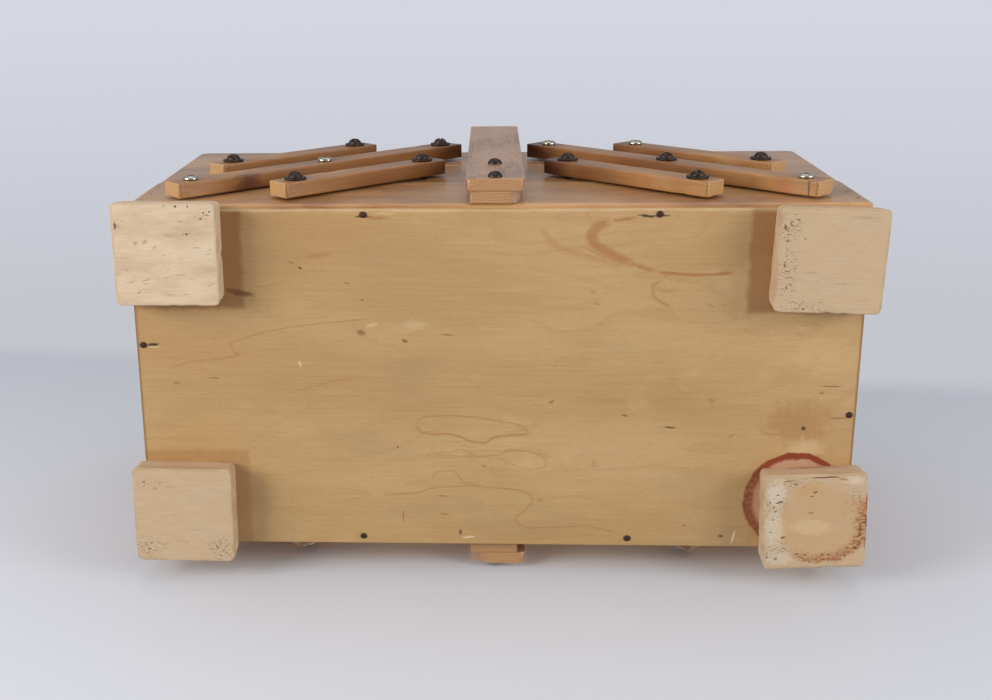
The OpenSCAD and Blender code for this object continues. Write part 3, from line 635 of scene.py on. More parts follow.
# node, turn, warm or pale, marks: x, y, half length, half width, turn, strength, colour
feet = [
    ("foot_front_left", 0.2, 0.0, [
        (-200.6, -91.5, .9, 2.4, 0, .9, "#4a4440"), (-198.6, -91, .5, 1.0, 0, .6, "#6a5f54"),
        (-173.6, -102.1, .6, .4, 0, .9, "#38322e"), (-167.8, -101.6, .9, 1.0, 20, .9, "#3c3733"),
        (-161.2, -101.7, .6, .9, 0, .8, "#4a443e"), (-153.0, -98.3, .9, .7, 0, .9, "#38322e"),
        (-149.9, -98.9, .8, .7, 0, .85, "#4a443e"), (-151.5, -97.3, .6, .5, 0, .7, "#4a443e"),
        (-154.6, -95.2, 1.1, .7, -20, .85, "#3a3430"), (-157.8, -96.0, .7, .4, 0, .6, "#6a5f54"),
        (-162.6, -86.9, 1.0, .8, 0, .9, "#33302a"), (-164.6, -86.8, .7, .3, -30, .8, "#4a443e"),
        (-160.9, -87.6, 1.0, .3, -10, .7, "#6a5f54"), (-196.2, -94, 1.4, .5, 0, .45, "#8a7a68"),
        (-165.0, -93.6, 2.6, .4, 0, .6, "#8b8478"), (-172.5, -86.0, 3.6, .8, 6, .5, "#a98a70"),
        (-190.4, -82.2, 2.0, 1.3, -20, .6, "#a48566"), (-185.2, -82.8, 2.4, 1.3, -35, .6, "#a48566"),
        (-180.4, -79.7, 2.2, .8, -25, .55, "#a48566"), (-157.8, -79.7, 3.0, .5, 0, .6, "#9c917e"),
        (-175.6, -75.7, 1.2, .6, -10, .5, "#a98a70"), (-151.8, -76.2, 2.0, .35, 0, .6, "#8b8070"),
        (-150.6, -78.4, .6, .9, 0, .5, "#8b7a64"), (-196.0, -67.6, 1.2, .4, 0, .6, "#8b7a64"),
        (-186.0, -61.9, 3.4, .5, -18, .6, "#a08060"), (-193.5, -61.0, 2.4, .4, -25, .6, "#a08060"),
        (-175.0, -63.0, 3.0, .6, -22, .45, "#b0946c"), (-167.0, -65.0, 3.4, .5, -4, .5, "#a08a6c"),
        (-160.8, -62.4, 3.6, .4, 14, .5, "#a08a6c"), (-190.2, -55.2, 1.8, .5, -35, .65, "#8b7458"),
        (-174.0, -54.0, 4.0, .8, 4, .45, "#b8965e"), (-165.0, -54.2, 3.4, .5, 4, .5, "#a5916f"),
        (-151.0, -59.5, 3.4, .5, -25, .5, "#a08a6c"), (-147.3, -51.0, .6, .5, 0, .7, "#6a5a48")]),
    ("foot_front_right", 1.6, 0.55, [
        (149.6, -90, 1.0, 1.6, 0, .8, "#4a3f34"), (151, -83, .8, 1.2, 20, .8, "#4a3f34"),
        (150.2, -70, .7, 1.6, 0, .7, "#54483c"), (156, -94, 1.4, .6, 15, .7, "#4d4238"),
        (160, -84, .9, .6, 0, .7, "#4d4238"), (152, -58, .9, 1.2, -15, .7, "#54483c"),
        (164, -66, 5.0, .8, 5, .3, "#9a7f60"), (180, -60, 6.0, 1.0, 0, .25, "#9a8162"),
        (190, -95, 9.0, 1.4, 4, .3, "#9b8465")]),
    ("foot_back_left", 0.7, 0.6, [
        (-196, 54, 1.4, .8, 0, .6, "#6a5c4c"), (-190, 58, 2.0, .6, -10, .5, "#7a6650"),
        (-181, 57, 5.0, .6, 3, .3, "#9a7f5e"), (-176, 90, 4.5, .7, 6, .25, "#9a7f5e"),
        (-186, 92, 3.5, .6, -20, .3, "#8a7355"), (-168, 83, 5.0, .6, 0, .25, "#9a7f5e")]),
    ("foot_back_right", -2.6, 0.6, [
        (154.5, 58, 7.0, 10.0, 0, .45, "#e4d9c8"), (154.5, 80, 7.0, 16.0, 0, .4, "#e2d6c2"),
        (158, 97, 10.0, 5.0, 0, .35, "#e0d3be"), (196, 50, 7.0, 3.5, 0, .5, "#e2cdb4"),
        (175, 78, 15.0, 6.0, 0, .4, "#dcc193"), (170, 56, 12.0, 5.0, -20, .45, "#c79a62"),
        (156.5, 63.4, 2.4, .7, -18, .9, "#3d352c"), (152.6, 53.4, 1.0, .5, 30, .7, "#5a4f44"),
        (160, 51.0, 3.0, .5, -15, .7, "#54432f"), (164.5, 52.6, 1.6, .7, 30, .7, "#6a4a30"),
        (155.2, 59.2, 1.2, .6, 0, .7, "#54483c"), (151.4, 63.6, .6, 1.0, 0, .8, "#4a4036"),
        (154.8, 69.0, 1.2, .6, -20, .7, "#54483c"), (153.4, 74.0, 1.0, .6, 20, .7, "#54483c"),
        (152.6, 81.4, .9, .6, 0, .8, "#463d33"), (159.6, 84.4, 2.0, .9, -20, .8, "#5a4734"),
        (160.2, 91.0, 1.8, .5, 0, .6, "#5a4734"), (151.5, 96.6, .8, 1.0, 0, .8, "#3f382f"),
        (156.4, 97.4, 1.2, .9, 0, .75, "#5a5042"), (153.8, 92.2, .7, .7, 0, .6, "#5a5042"),
        (173.8, 69.6, 2.2, .4, -8, .85, "#4c4030"), (175.6, 57.2, 1.8, .8, -25, .8, "#5c4a30"),
        (173.6, 59.6, 1.4, .5, -10, .8, "#5c4a30"), (178, 48.6, 7.0, .5, -2, .95, "#6b2c12"),
        (184, 48.2, 5.0, .6, 0, .8, "#43200f"), (190, 49.4, 4.0, .8, 10, .6, "#a05a3c"),
        (204.0, 62.5, 1.4, 5.5, -4, .95, "#9c4a20"), (204.6, 74.5, 1.2, 7.0, -4, .9, "#6f2f14"),
        (202.0, 68.0, 2.6, 9.0, 0, .5, "#b07a50"), (204.8, 86.0, 1.2, 6.0, 0, .7, "#8c4c26")]),
]

# where dirt has settled in clusters of specks: x, y, half length, half width, strength
foot_specks = {
    "foot_front_left": [(-152, -97, 7, 5, .5), (-200, -91, 3, 6, .6)],
    "foot_front_right": [(152, -90, 9, 13, .9), (152, -66, 8, 20, .85), (162, -47.5, 18, 6, .9)],
    "foot_back_left": [(-153, 95, 12, 11, .9), (-196, 94, 13, 11, .8), (-190, 55, 14, 5, .5)],
    "foot_back_right": [(155, 66, 9, 20, .85), (156, 92, 10, 13, .8), (166, 53, 18, 7, .75),
                        (196, 62, 9, 18, .5)],
}


def worn_block(size, corner, edge, cell, wear, seed):
    """A sawn block, with its upright corners rounded, its edges eased, and small knocks in it."""
    bm = bmesh.new()
    bmesh.ops.create_cube(bm, size=1)
    bmesh.ops.scale(bm, vec=size, verts=bm.verts)
    for axis in range(3):
        half = size[axis] / 2
        rounded = [corner * s for s in (0.35, 0.7, 1.0)] if axis < 2 and corner > edge else []
        cuts = [half - c - edge * 1.25 for c in [0] + rounded]
        inner = min(cuts)
        count = max(1, round(2 * inner / (cell if axis < 2 else cell * 1.4)))
        places = sorted({round(p, 7) for c in cuts for p in (c, -c)}
                        | {round(-inner + 2 * inner * i / count, 7) for i in range(count + 1)})
        facing = [float(i == axis) for i in range(3)]
        for place in places:
            bmesh.ops.bisect_plane(bm, geom=bm.verts[:] + bm.edges[:] + bm.faces[:],
                                   plane_co=[place * f for f in facing], plane_no=facing, dist=1e-7)
    for v in bm.verts:
        past_x = abs(v.co.x) - (size[0] / 2 - corner)
        past_y = abs(v.co.y) - (size[1] / 2 - corner)
        if past_x > 0 and past_y > 0:
            shrink = max(past_x, past_y) / math.hypot(past_x, past_y)
            v.co.x -= math.copysign(past_x * (1 - shrink), v.co.x)
            v.co.y -= math.copysign(past_y * (1 - shrink), v.co.y)
    outline = [e for e in bm.edges if len(e.link_faces) == 2 and e.calc_face_angle(0) > math.radians(50)]
    bmesh.ops.bevel(bm, geom=outline, offset=edge, offset_type="OFFSET", segments=3,
                    profile=0.5, affect="EDGES", material=-1, clamp_overlap=True)
    bmesh.ops.recalc_face_normals(bm, faces=bm.faces)
    bm.normal_update()
    away = Vector((seed * 3.7, seed * 1.3, 0))
    moves = []
    for v in bm.verts:
        # knocks only along the edges, and a slight waviness everywhere
        close, second, _ = sorted(size[i] / 2 - abs(v.co[i]) for i in range(3))
        on_edge = max(0.0, 1 - second / (2.2 * mm)) if close < edge else 0.0
        knock = max(0.0, noise.noise(v.co * 210 + away) - 0.28) * on_edge
        wave = noise.noise(v.co * 130 + away)
        moves.append(v.normal * (0.10 * wave - 2.4 * knock) * wear * mm)
    for v, by in zip(bm.verts, moves):
        v.co += by
    return bm


def keep_inside(bm, low, high):
    """Wear only takes wood away: nothing stands past the CAD shape's box."""
    for v in bm.verts:
        v.co = Vector(min(max(v.co[i], low[i]), high[i]) for i in range(3))


for order, (node_name, turn, warmth, marks) in enumerate(feet):
    low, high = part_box(node_name)
    middle = (low + high) / 2
    inner = 1 if middle.x < 0 else -1
    block = worn_block(foot_size, foot_corner, foot_edge, 3.0 * mm, 1.0, order + 1)
    for v in block.verts:
        up = v.co.z / foot_size.z + 0.5
        v.co.y += foot_lean_front * up * max(0.0, -2 * v.co.y / foot_size.y)
        v.co.x -= inner * foot_lean_inner * up * max(0.0, 2 * inner * v.co.x / foot_size.x)
    spin(block, "Z", turn)
    move(block, (middle.x, middle.y, foot_size.z / 2))
    keep_inside(block, low, high)
    beech = Finish("beech_" + node_name + "_beech")
    along = (0, 0, turn)
    strands = beech.noise((0.016, 0.0007, 0.0007), 3, 0.6, (order, 0, 0), along)
    clouds = beech.noise((0.03, 0.012, 0.012), 3, 0.6, (0, order, 0), along)
    beech.base((0.36, "#bb9f82"), (0.52, "#d0b597"), (0.68, "#dfc8ac"),
               by=beech.times(strands, 0.22, beech.times(clouds, 0.6, 0.14)))
    # short flecks across the grain lines, as quarter-sawn beech has
    flecks = beech.noise((0.0034, 0.0009, 0.0011), 2, 0.55, (0, 0, order), (0, 0, turn - 20), 0.6)
    beech.layer("#b0886a", beech.fade(flecks, 0.66, 0.78), 0.45)
    rays = beech.noise((0.007, 0.0018, 0.002), 3, 0.6, (order, order, 0), (0, 0, turn + 10))
    beech.layer("#ead6b8", beech.fade(rays, 0.60, 0.76), 0.22)
    beech.layer("#b3967a", beech.fade(clouds, 0.56, 0.74), 0.2)
    # grime: worn in along the edges, as small dark specks
    rim = beech.square((middle.x / mm, middle.y / mm, 0), (foot_mm.x / 2, foot_mm.y / 2, foot_mm.z), along)
    grit = beech.noise((0.0016, 0.0012, 0.0014), 3, 0.7, (0, 2 + order, 0))
    beech.layer("#4a4037", beech.times(beech.fade(rim, 0.86, 1.0), beech.fade(grit, 0.66, 0.74)),
                0.7 if order else 0.4)
    beech.layer("#8c6f50", beech.times(beech.fade(rim, 0.93, 1.0), beech.fade(clouds, 0.40, 0.62)), 0.4)
    if warmth > 0:
        beech.layer("#b08c60", beech.fade(clouds, 0.25, 0.60), warmth * 0.8)
    specks = beech.fade(beech.noise((0.0017, 0.0012, 0.002), 3, 0.7, (order, 0.5, 0)), 0.54, 0.62)
    for x, y, long, wide, strength in foot_specks[node_name]:
        near = beech.spot((x, y, 0), (long, wide, 12), soft=0.9)
        beech.layer("#453c34", beech.times(near, specks), strength)
    ragged = beech.wobble(0.0022, 0.9)
    if node_name == "foot_back_right":
        stain = (179.5, 75.5, 0), (25, 23.5, 40)
        stain_x, stain_y, _ = beech.axes(beech.area(*stain))
        stain_far = beech.oval(*stain, ragged=beech.wobble(0.012, 0.35, 4.0))
        stain_grit = beech.noise((0.0022, 0.0014, 0.002), 4, 0.7)
        beech.layer("#c49a66", beech.fade(stain_far, 1.08, 0.80), 0.45)
        # the wet drained to the right and to the back, so the rim is dark only there
        from_dry = beech.fade(beech.sum("ADD", stain_x, stain_y), -0.1, 0.7)
        stain_rim = beech.times(beech.band(stain_far, 0.74, 0.94, 1.0, 1.10), from_dry)
        beech.layer("#a0632f", beech.times(stain_rim, beech.fade(stain_grit, 0.36, 0.56)), 0.85)
        beech.layer("#6a3616", beech.times(stain_rim, beech.fade(stain_grit, 0.52, 0.62)), 0.85)
        beech.layer("#7c3414", beech.spot((176, 47, 15), (26, 6, 4), soft=0.8, ragged=ragged), 0.5)
    beech.marks(marks, 4, 0.6, ragged)
    beech.relief(strands, 0.10)
    beech.relief(beech.fade(flecks, 0.78, 0.60), 0.12)
    settle("beech_" + node_name, block, beech.done(0.78, specular=0.3), "base", [node_name])

# ---------------------------------------------------------------------------
# The middle and top trays: thinner boards than the base tray's, with rounded
# outer corners, varnished outside and left plain inside, on plywood bottoms.
# ---------------------------------------------------------------------------

tray_finish = timber("varnished_tray_board", grain_along_x, "#bd8f60", "#a97a4c", "#855833", 3.8,
                     shift=(0.1, 0, 0.2), fibre=0.8, ring=0.08)
tray_grime = tray_finish.noise((0.07, 0.03, 0.02), 4, 0.6, (0.5, 0, 0))
tray_finish.layer("#7d4d30", tray_finish.fade(tray_grime, 0.52, 0.74), 0.28)
tray_long_board = tray_finish.done(0.38, coat=0.6, coat_rough=0.26)
tray_end_board = timber("varnished_tray_end_board", grain_along_y, "#c4966a", "#b08054", "#8a5c36", 3.6,
                        shift=(0, 0.4, 0.1)).done(0.40, coat=0.55, coat_rough=0.28)

tray_ply = Finish("tray_plywood")
streaks = tray_ply.noise((0.03, 0.0012, 0.004), 3, 0.6, (0.2, 0.9, 0))
broad = tray_ply.noise((0.15, 0.05, 0.05), 3, 0.5, (0.6, 0.1, 0))
tray_ply.base((0.38, "#b89262"), (0.5, "#c49f6c"), (0.62, "#cfae7c"),
              by=tray_ply.times(streaks, 0.35, tray_ply.times(broad, 0.55, 0.05)))
tray_ply.layer("#a67c48", tray_ply.band(tray_ply.rings(broad, 14.0), 0.6, 0.97, 0.97, 1.0), 0.45)
tray_ply.relief(streaks, 0.05)
tray_plywood = tray_ply.done(0.55, coat=0.1, coat_rough=0.4)

for tray in ("left_mid", "left_top", "right_mid", "right_top"):
    coat_node(tray_long_board, tray + "_front_wall", tray + "_back_wall")
    coat_node(tray_end_board, tray + "_end_walls")
    coat_node(tray_plywood, tray + "_bottom")

# ---------------------------------------------------------------------------
# The lids: one board over each top tray, set in between its long walls and
# turning on steel pins near its outer edge, with a turned knob to lift it by.
# ---------------------------------------------------------------------------

lid_corner, lid_edge = 1.5 * mm, 0.9 * mm
knob_profile = [  # radius and height in mm, from the lid up
    (0, 0), (5.2, 0), (5.6, 0.5), (4.6, 1.6), (4.0, 3.2), (4.3, 4.8), (6.2, 6.2), (7.6, 7.6),
    (8.0, 9.0), (7.6, 10.6), (6.2, 12.0), (3.6, 12.8), (0, 13.0),
]
knob_rise = 13 * mm
knob_tenon_radius = 3.0 * mm
knob_tenon_bite = 1 * mm


def turned(profile, steps):
    """A piece turned on a lathe: the outline in mm, spun about Z and closed."""
    bm = bmesh.new()
    points = [bm.verts.new((r * mm, 0, z * mm)) for r, z in profile]
    line = [bm.edges.new(pair) for pair in zip(points[:-1], points[1:])]
    bmesh.ops.spin(bm, geom=points + line, cent=(0, 0, 0), axis=(0, 0, 1), angle=2 * math.pi,
                   steps=steps, use_merge=True)
    bmesh.ops.remove_doubles(bm, verts=bm.verts, dist=1e-6)
    bmesh.ops.recalc_face_normals(bm, faces=bm.faces)
    return bm


lid_board = timber("varnished_lid_board", grain_along_y, "#caa071", "#b98b58", "#946539", 5.5, lean=0.25,
                   shift=(0.7, 0.2, 0)).done(0.36, coat=0.65, coat_rough=0.22)
knob_wood = timber("turned_knob", grain_along_z, "#b98a58", "#a1713f", "#7d4f2a", 2.4,
                   shift=(0.2, 0.1, 0)).done(0.32, coat=0.7, coat_rough=0.2)
bright_pin = mottled("pin_steel", (0.006, 0.0004, 0.0004), 3, 0.6, (0.3, "#8b857b"), (0.7, "#b4aea2"),
                     shine=(0.25, 0.45), metal=1.0, dents=0.02)
for side, sign in (("left", -1), ("right", 1)):
    low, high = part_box(side + "_lid")
    board = worn_block(high - low, lid_corner, lid_edge, 14 * mm, 0.5, 20 + sign)
    move(board, (low + high) / 2)
    keep_inside(board, low, high)
    settle(side + "_lid_board", board, lid_board, side + "_lid", [side + "_lid"])
    low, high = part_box(side + "_lid_knob")
    knob = turned(knob_profile, 48)
    tenon_length = high.z - low.z - knob_rise
    tenon = add_rod(knob, knob_tenon_radius, tenon_length + knob_tenon_bite, 32)
    move(knob, (0, 0, (knob_tenon_bite - tenon_length) / 2), tenon)
    move(knob, ((low.x + high.x) / 2, (low.y + high.y) / 2, high.z - knob_rise))
    settle(side + "_turned_knob", knob, knob_wood, side + "_lid", [side + "_lid_knob"])
    coat_node(bright_pin, side + "_lid_pins")

# ---------------------------------------------------------------------------
# The arms: plain strips with sawn ends, drilled for their screws and brushed
# with the same varnish, which has gathered and darkened at their upper ends.
# ---------------------------------------------------------------------------

arm_angle = 44.57
arm_width, arm_thickness = 16 * mm, 8.5 * mm
arm_corner, arm_ease = 1.5 * mm, 0.8 * mm
arm_near_y = 99.8 * mm
# in mm: how far an arm runs past its end pivots, and a step from pivot to pivot
arm_past, arm_step = 12.5, math.hypot(67, 66)
# kind: body, lower pivot's x and z in mm on the right, steps
arm_kinds = {
    "long": ("long_arms", 169.0, 45.8, 2),
    "lower": ("lower_arms", 110.5, 45.8, 1),
    "upper": ("upper_arms", 157.5, 111.8, 1),
}
# darkening at the upper end: how far from the end it starts, and its strength
arm_end_dark = {
    ("left", "long"): (46, 0.70), ("left", "lower"): (26, 0.45), ("left", "upper"): (22, 0.35),
    ("right", "long"): (34, 0.95), ("right", "lower"): (24, 0.85), ("right", "upper"): (18, 0.35),
}
# further marks: along and across from the lower pivot, half length, half width, strength, colour
arm_marks = {
    ("left", "long"): [(33, -8, 13, 5, 0.8, "#5a2412"), (62, -8, 18, 4, 0.4, "#8a4a20")],
    ("left", "lower"): [(46, -8, 16, 4, 0.35, "#9a5a26")],
    ("left", "upper"): [],
    ("right", "long"): [(-7, -8.2, 1.2, 3.2, 0.9, "#3a1c0e"), (8, -8, 9, 4, 0.4, "#b0561f"),
                        (120, -8, 22, 5, 0.35, "#8a4a20")],
    ("right", "lower"): [(64, -6, 0.8, 2.0, 0.95, "#24140c"), (30, -8, 14, 4, 0.3, "#a8652c")],
    ("right", "upper"): [(8, -8, 9, 4, 0.3, "#a8652c")],
}

for side, sign in (("left", -1), ("right", 1)):
    turn_angle = -arm_angle if sign < 0 else 180 + arm_angle
    arm_turn = (0, turn_angle, 0)
    for kind, (body, low_x, low_z, steps) in arm_kinds.items():
        pivot_mm = Vector((sign * low_x, 0, low_z))
        pivot = pivot_mm * mm
        finish = timber(f"{side}_{kind}_arm_varnish", arm_turn, "#b07c40", "#9a6733", "#764a21", 2.6,
                        lean=0.35, shift=pivot, fibre=0.7, ring=0.05)
        along_arm, thick, wide = finish.axes(finish.space((mm, mm, mm), pivot, arm_turn))
        blotch = finish.noise((0.02, 0.006, 0.006), 3, 0.6, pivot, arm_turn)
        ragged_along = finish.times(blotch, 22.0, finish.sum("SUBTRACT", along_arm, 11.0))
        end_at = steps * arm_step + arm_past
        dark_from, dark_strength = arm_end_dark[side, kind]
        finish.layer("#8e5526", finish.fade(ragged_along, 20, end_at), 0.35)
        finish.layer("#43180c", finish.fade(ragged_along, end_at - dark_from, end_at - 3), dark_strength)
        finish.layer("#7f4b24", finish.fade(blotch, 0.55, 0.75), 0.18)
        # the sawn lower end shows its growth rings
        low_end = finish.fade(along_arm, 0.9 - arm_past, 0.3 - arm_past)
        end_rings = finish.rings(blotch, 3.0, finish.times(thick, 0.55, finish.times(wide, 0.25)))
        finish.layer("#c29a66", low_end, 0.75)
        finish.layer("#93683c", finish.times(low_end, finish.fade(end_rings, 0.55, 0.95)), 0.5)
        wear = finish.wobble(0.003, 0.8)
        for along, across, long, wide, strength, colour in arm_marks[side, kind]:
            # a mark's place runs along the arm, and across it towards the lower edge
            at = Vector((along, 0, -sign * across))
            at.rotate(Matrix.Rotation(math.radians(turn_angle), 3, "Y"))
            mark = finish.spot(pivot_mm + at, (long, 300, wide), arm_turn, 0.8, wear)
            finish.layer(colour, mark, strength)
        varnish = finish.done(finish.fade(blotch, 0.3, 0.7, 0.38, 0.5), coat=0.35, coat_rough=0.28)
        length = (steps * arm_step + 2 * arm_past) * mm
        for face, out in (("front", -1), ("back", 1)):
            seed = (sign + 2) * 5 + len(kind) + out
            size = Vector((length, arm_width, arm_thickness))
            arm = worn_block(size, arm_corner, arm_ease, 5 * mm, 0.6, seed)
            # lay it with its length along X, its width upright and its thickness along Y
            spin(arm, "X", 90)
            move(arm, (length / 2 - arm_past * mm, 0, 0))
            spin(arm, "Y", turn_angle)
            move(arm, pivot + Vector((0, out * (arm_near_y + arm_thickness / 2), 0)))
            node_name = f"{side}_{face}_{kind}_arm"
            keep_inside(arm, *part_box(node_name))
            settle(node_name + "_strip", arm, varnish, f"{side}_{body}", [node_name])

# ---------------------------------------------------------------------------
# The pivot screws: dark round heads with a slot, on dark washers, and bright
# pan heads with a cross where the old screws have been changed.
# ---------------------------------------------------------------------------

head_slots = random.Random(7)
shank_radius = 2.1 * mm
shank_bite = 0.1 * mm
screw_tip_y = 92.3 * mm
washer_under, washer_over = 108.6 * mm, 109.6 * mm
washer_hole, washer_radius = 2.15, 6.2
dome_radius, dome_rise, dome_lip = 4.0, 3.1, 0.25
pan_radius, pan_rise = 4.35, 2.1
cross_reach = 2.6 * mm
slot_width, slot_depth = 1.0 * mm, 1.1 * mm

browned_iron = mottled("browned_iron", (0.0016, 0.0016, 0.0016), 4, 0.7, (0.3, "#231d1c"), (0.5, "#3a302c"),
                       (0.66, "#5a4438"), (0.8, "#76604e"), shine=(0.34, 0.62), metal=0.75, dents=0.10)
bright_zinc = mottled("bright_zinc", (0.0030, 0.0008, 0.0020), 3, 0.6, (0.3, "#8f8a78"), (0.55, "#c4c0b2"),
                      (0.8, "#dad8ce"), shine=(0.22, 0.38), metal=1.0, dirt="#54503f")


def screw_head(radius, rise, dome):
    """A head looking up: a dome with one slot across it, or a flatter pan with a cross."""
    if dome:
        profile = [(0, 0), (radius, 0), (radius, dome_lip)]
        profile += [(radius * math.cos(a), dome_lip + (rise - dome_lip) * math.sin(a))
                    for a in map(math.radians, (14, 28, 42, 56, 68, 80))] + [(0, rise)]
    else:
        profile = [(0, 0), (radius - 0.3, 0), (radius, 0.35), (radius, 0.8), (radius - 0.25, 1.35),
                   (radius - 0.9, 1.8), (radius - 2.0, 2.05), (0, rise)]
    bm = turned(profile, 32)
    half = slot_width / 2
    reach = radius * mm if dome else cross_reach
    floor = rise * mm - slot_depth
    along_x, along_y = (1, 0, 0), (0, 1, 0)
    planes = [((half, 0, 0), along_x), ((-half, 0, 0), along_x), ((0, 0, floor), (0, 0, 1))]
    if not dome:
        planes += [((0, half, 0), along_y), ((0, -half, 0), along_y), ((reach, 0, 0), along_x),
                   ((-reach, 0, 0), along_x), ((0, reach, 0), along_y), ((0, -reach, 0), along_y)]
    for at, facing_way in planes:
        bmesh.ops.bisect_plane(bm, geom=bm.verts[:] + bm.edges[:] + bm.faces[:], plane_co=at,
                               plane_no=facing_way, dist=1e-7)
    cut = []
    for face in bm.faces:
        x, y, z = map(abs, face.calc_center_median())
        in_slot = x < half and y < reach or not dome and y < half and x < reach
        if z > floor + 1e-6 and in_slot:
            cut.append(face)
    sunk = bmesh.ops.extrude_face_region(bm, geom=cut)["geom"]
    bmesh.ops.delete(bm, geom=[f for f in cut if f.is_valid], context="FACES_KEEP_BOUNDARY")
    for v in [g for g in sunk if isinstance(g, bmesh.types.BMVert)]:
        v.co.z = floor
    bmesh.ops.remove_doubles(bm, verts=bm.verts, dist=1e-6)
    bmesh.ops.dissolve_degenerate(bm, edges=bm.edges, dist=1e-6)
    bmesh.ops.recalc_face_normals(bm, faces=bm.faces)
    return bm


def stand_out(bm, x, y, z, out):
    """Turns a piece that looks up to look away from the box (out is -1 in front, 1 behind)."""
    spin(bm, "X", -90 * out)
    move(bm, (x, out * y, z))
    return bm


def screw(x, z, out, bright, seat_y, tip_y):
    """One whole screw, standing on seat_y."""
    bm = screw_head(pan_radius, pan_rise, False) if bright else screw_head(dome_radius, dome_rise, True)
    shank = add_rod(bm, shank_radius, seat_y - tip_y + shank_bite, 24)
    move(bm, (0, 0, (shank_bite - seat_y + tip_y) / 2), shank)
    spin(bm, "Z", math.degrees(head_slots.uniform(0, math.pi)))
    return stand_out(bm, x, seat_y, z, out)


def washer(x, z, out):
    """A stamped washer: a flat ring with eased edges, very slightly dished."""
    inner, outer = washer_hole, washer_radius
    profile = [(inner, 0), (outer - 0.2, 0), (outer, 0.2), (outer, 0.7), (outer - 0.25, 0.95),
               (outer - 1.2, 1.0), (inner, 1.0), (inner, 0)]
    return stand_out(turned(profile, 40), x, washer_under, z, out)


def gathered(pieces):
    """Several separate solids as one mesh."""
    whole = bmesh.new()
    for bm in pieces:
        mesh = bpy.data.meshes.new("part")
        bm.to_mesh(mesh)
        bm.free()
        whole.from_mesh(mesh)
        bpy.data.meshes.remove(mesh)
    return whole


# each level's pivots: x and z in mm on the right
pivots = {
    "base": [(169.0, 45.8), (110.5, 45.8)],
    "mid": [(102.0, 111.8), (43.5, 111.8), (157.5, 111.8)],
    "top": [(35.0, 177.8), (90.5, 177.8)],
}
# node stem, level, body and the sides it is on
pivot_groups = [("base_pivot", "base", "base", (-1, 1))] + [
    (f"{side}_{level}_pivot", level, f"{side}_{level}_tray", (sign,))
    for level in ("mid", "top") for side, sign in (("left", -1), ("right", 1))
]
# the front screws that are bright
bright_places = {(-169.0, 45.8), (169.0, 45.8), (-102.0, 111.8), (35.0, 177.8), (90.5, 177.8)}
for stem, level, body, signs in pivot_groups:
    darks, brights, washers = [], [], []
    for sign, (x, z), out in [(s, place, o) for s in signs for place in pivots[level] for o in (-1, 1)]:
        is_bright = out < 0 and (sign * x, z) in bright_places
        seat = washer_under if is_bright else washer_over
        made = screw(sign * x * mm, z * mm, out, is_bright, seat, screw_tip_y)
        (brights if is_bright else darks).append(made)
        if not is_bright:
            washers.append(washer(sign * x * mm, z * mm, out))
    settle(stem + "_dark_screws", gathered(darks), browned_iron, body, [stem + "_screws"])
    if brights:
        settle(stem + "_bright_screws", gathered(brights), bright_zinc, body, [stem + "_screws"])
    settle(stem + "_dark_washers", gathered(washers), browned_iron, body, [stem + "_washers"])

# ---------------------------------------------------------------------------
# The posts and handle: a flat strip at the middle of each long side, packed out
# from the base tray and screwed to it, with a turned rod let in between them.
# ---------------------------------------------------------------------------

post_corner, post_ease = 3.0 * mm, 0.8 * mm
post_foot_z = 21.7 * mm
post_seat_y, post_screw_tip = 112.3 * mm, 90.8 * mm
post_screw_heights = [28.0, 73.0]
spacer_thick, spacer_corner, spacer_ease = 6.7 * mm, 1.0 * mm, 0.6 * mm
rod_radius, rod_end_radius, rod_end_length, rod_taper = 7.0, 6.6, 4.2, 0.6

post_finish = timber("varnished_post", grain_along_z, "#b58d6e", "#a37c60", "#7f573f", 3.0,
                     shift=(0, 0.2, 0.4))
_, post_y, post_z = post_finish.axes(post_finish.object_space)
post_grime = post_finish.noise((0.01, 0.01, 0.03), 4, 0.6)
post_finish.layer("#6d3f26", post_finish.fade(post_grime, 0.55, 0.75), 0.18)
post_foot = post_finish.fade(post_z, post_foot_z + 0.7 * mm, post_foot_z)
post_rings = post_finish.rings(post_grime, 3.0, post_finish.times(post_y, 700.0))
post_finish.layer("#b98a58", post_foot, 0.8)
post_finish.layer("#8a5a30", post_finish.times(post_foot, post_finish.fade(post_rings, 0.5, 0.95)), 0.45)
post_wood = post_finish.done(0.42, coat=0.4, coat_rough=0.3)


def upright_strip(size, centre, *wear):
    """A worn block built lying down, so that its upper corners are the round ones, then stood up."""
    strip = worn_block(Vector((size[2], size[0], size[1])), *wear)
    stood_up = Matrix(((0, 1, 0), (0, 0, 1), (1, 0, 0)))
    bmesh.ops.rotate(strip, cent=(0, 0, 0), matrix=stood_up, verts=strip.verts)
    move(strip, centre)
    return strip


def break_corner(bm, corner, reach, pull):
    """The wood near a corner has splintered away."""
    for v in bm.verts:
        v.co += pull * max(0.0, 1 - (v.co - corner).length / reach)


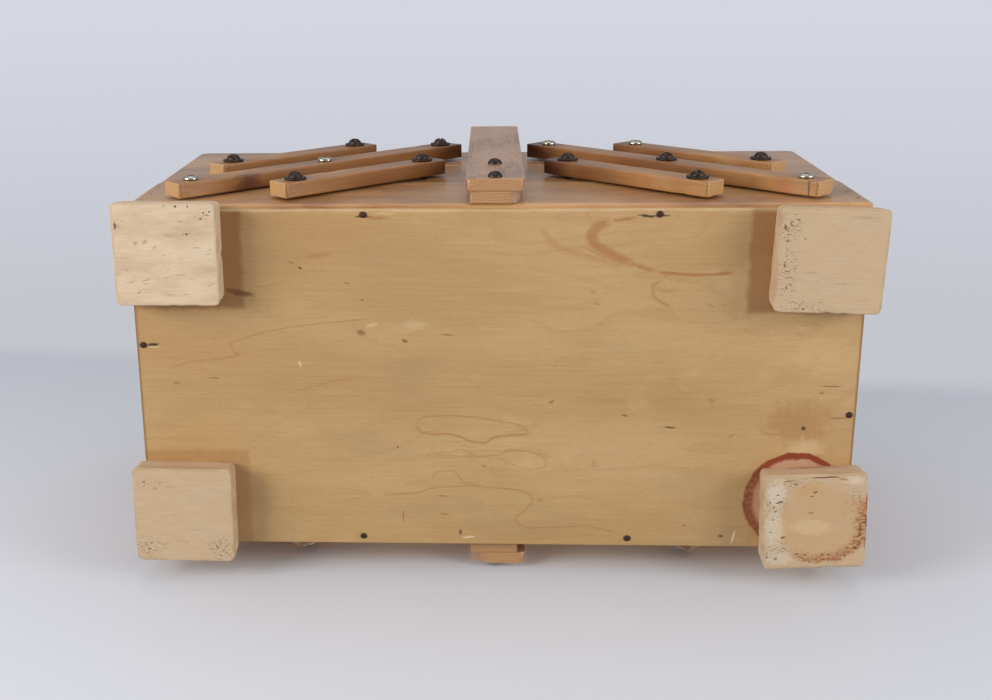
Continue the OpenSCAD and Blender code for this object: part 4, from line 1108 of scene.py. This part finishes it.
for face, out in (("front", -1), ("back", 1)):
    low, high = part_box(face + "_post")
    strip = upright_strip(high - low, (low + high) / 2, post_corner, post_ease, 5 * mm, 0.9, 40 + out)
    if face == "back":
        break_corner(strip, Vector((low.x, high.y, low.z)), 9 * mm, Vector((0, 0, 4.5)) * mm)
    keep_inside(strip, low, high)
    settle(face + "_post_strip", strip, post_wood, "base", [face + "_post"])

spacers = []
low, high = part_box("post_spacers")
for out in (-1, 1):
    packing = upright_strip(
        (high.x - low.x, spacer_thick, high.z - low.z),
        ((low.x + high.x) / 2, out * (base_face * mm + spacer_thick / 2), (low.z + high.z) / 2),
        spacer_corner, spacer_ease, 4 * mm, 1.6, 50 + out)
    if out < 0:
        break_corner(packing, Vector((high.x, -102 * mm, low.z)), 7 * mm, Vector((-2.2, 0, 3.0)) * mm)
    keep_inside(packing, low, high)
    spacers.append(packing)
settle("post_packing_strips", gathered(spacers), post_wood, "base", ["post_spacers"])

post_heads = [screw(0, z * mm, out, False, post_seat_y, post_screw_tip)
              for out in (-1, 1) for z in post_screw_heights]
settle("post_dark_screws", gathered(post_heads), browned_iron, "base", ["post_screws"])

rod_low, rod_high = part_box("handle_rod")
rod_half = (rod_high.y - rod_low.y) / 2 / mm
rod_end = [(0, rod_half), (rod_end_radius, rod_half), (rod_end_radius, rod_half - rod_end_length),
           (rod_radius, rod_half - rod_end_length - rod_taper)]
rod_middle = [(rod_radius - 0.12 * abs(math.sin(i)), (rod_half - 8) * (i / 12 - 1)) for i in range(25)]
rod = turned([(r, -at) for r, at in rod_end] + rod_middle + rod_end[::-1], 40)
spin(rod, "X", 90)
move(rod, (rod_low + rod_high) / 2)
rod_finish = timber("turned_rod", grain_along_y, "#bf9160", "#a97a48", "#855630", 2.8,
                    shift=(0.3, 0.3, 0.1))
rod_y = rod_finish.axes(rod_finish.object_space)[1]
rod_finish.layer("#d0a675", rod_finish.fade(rod_finish.sum("ABSOLUTE", rod_y), 0.07, 0.02), 0.35)
rod_wood = rod_finish.done(0.34, coat=0.5, coat_rough=0.22)
settle("turned_handle_rod", rod, rod_wood, "base", ["handle_rod"])
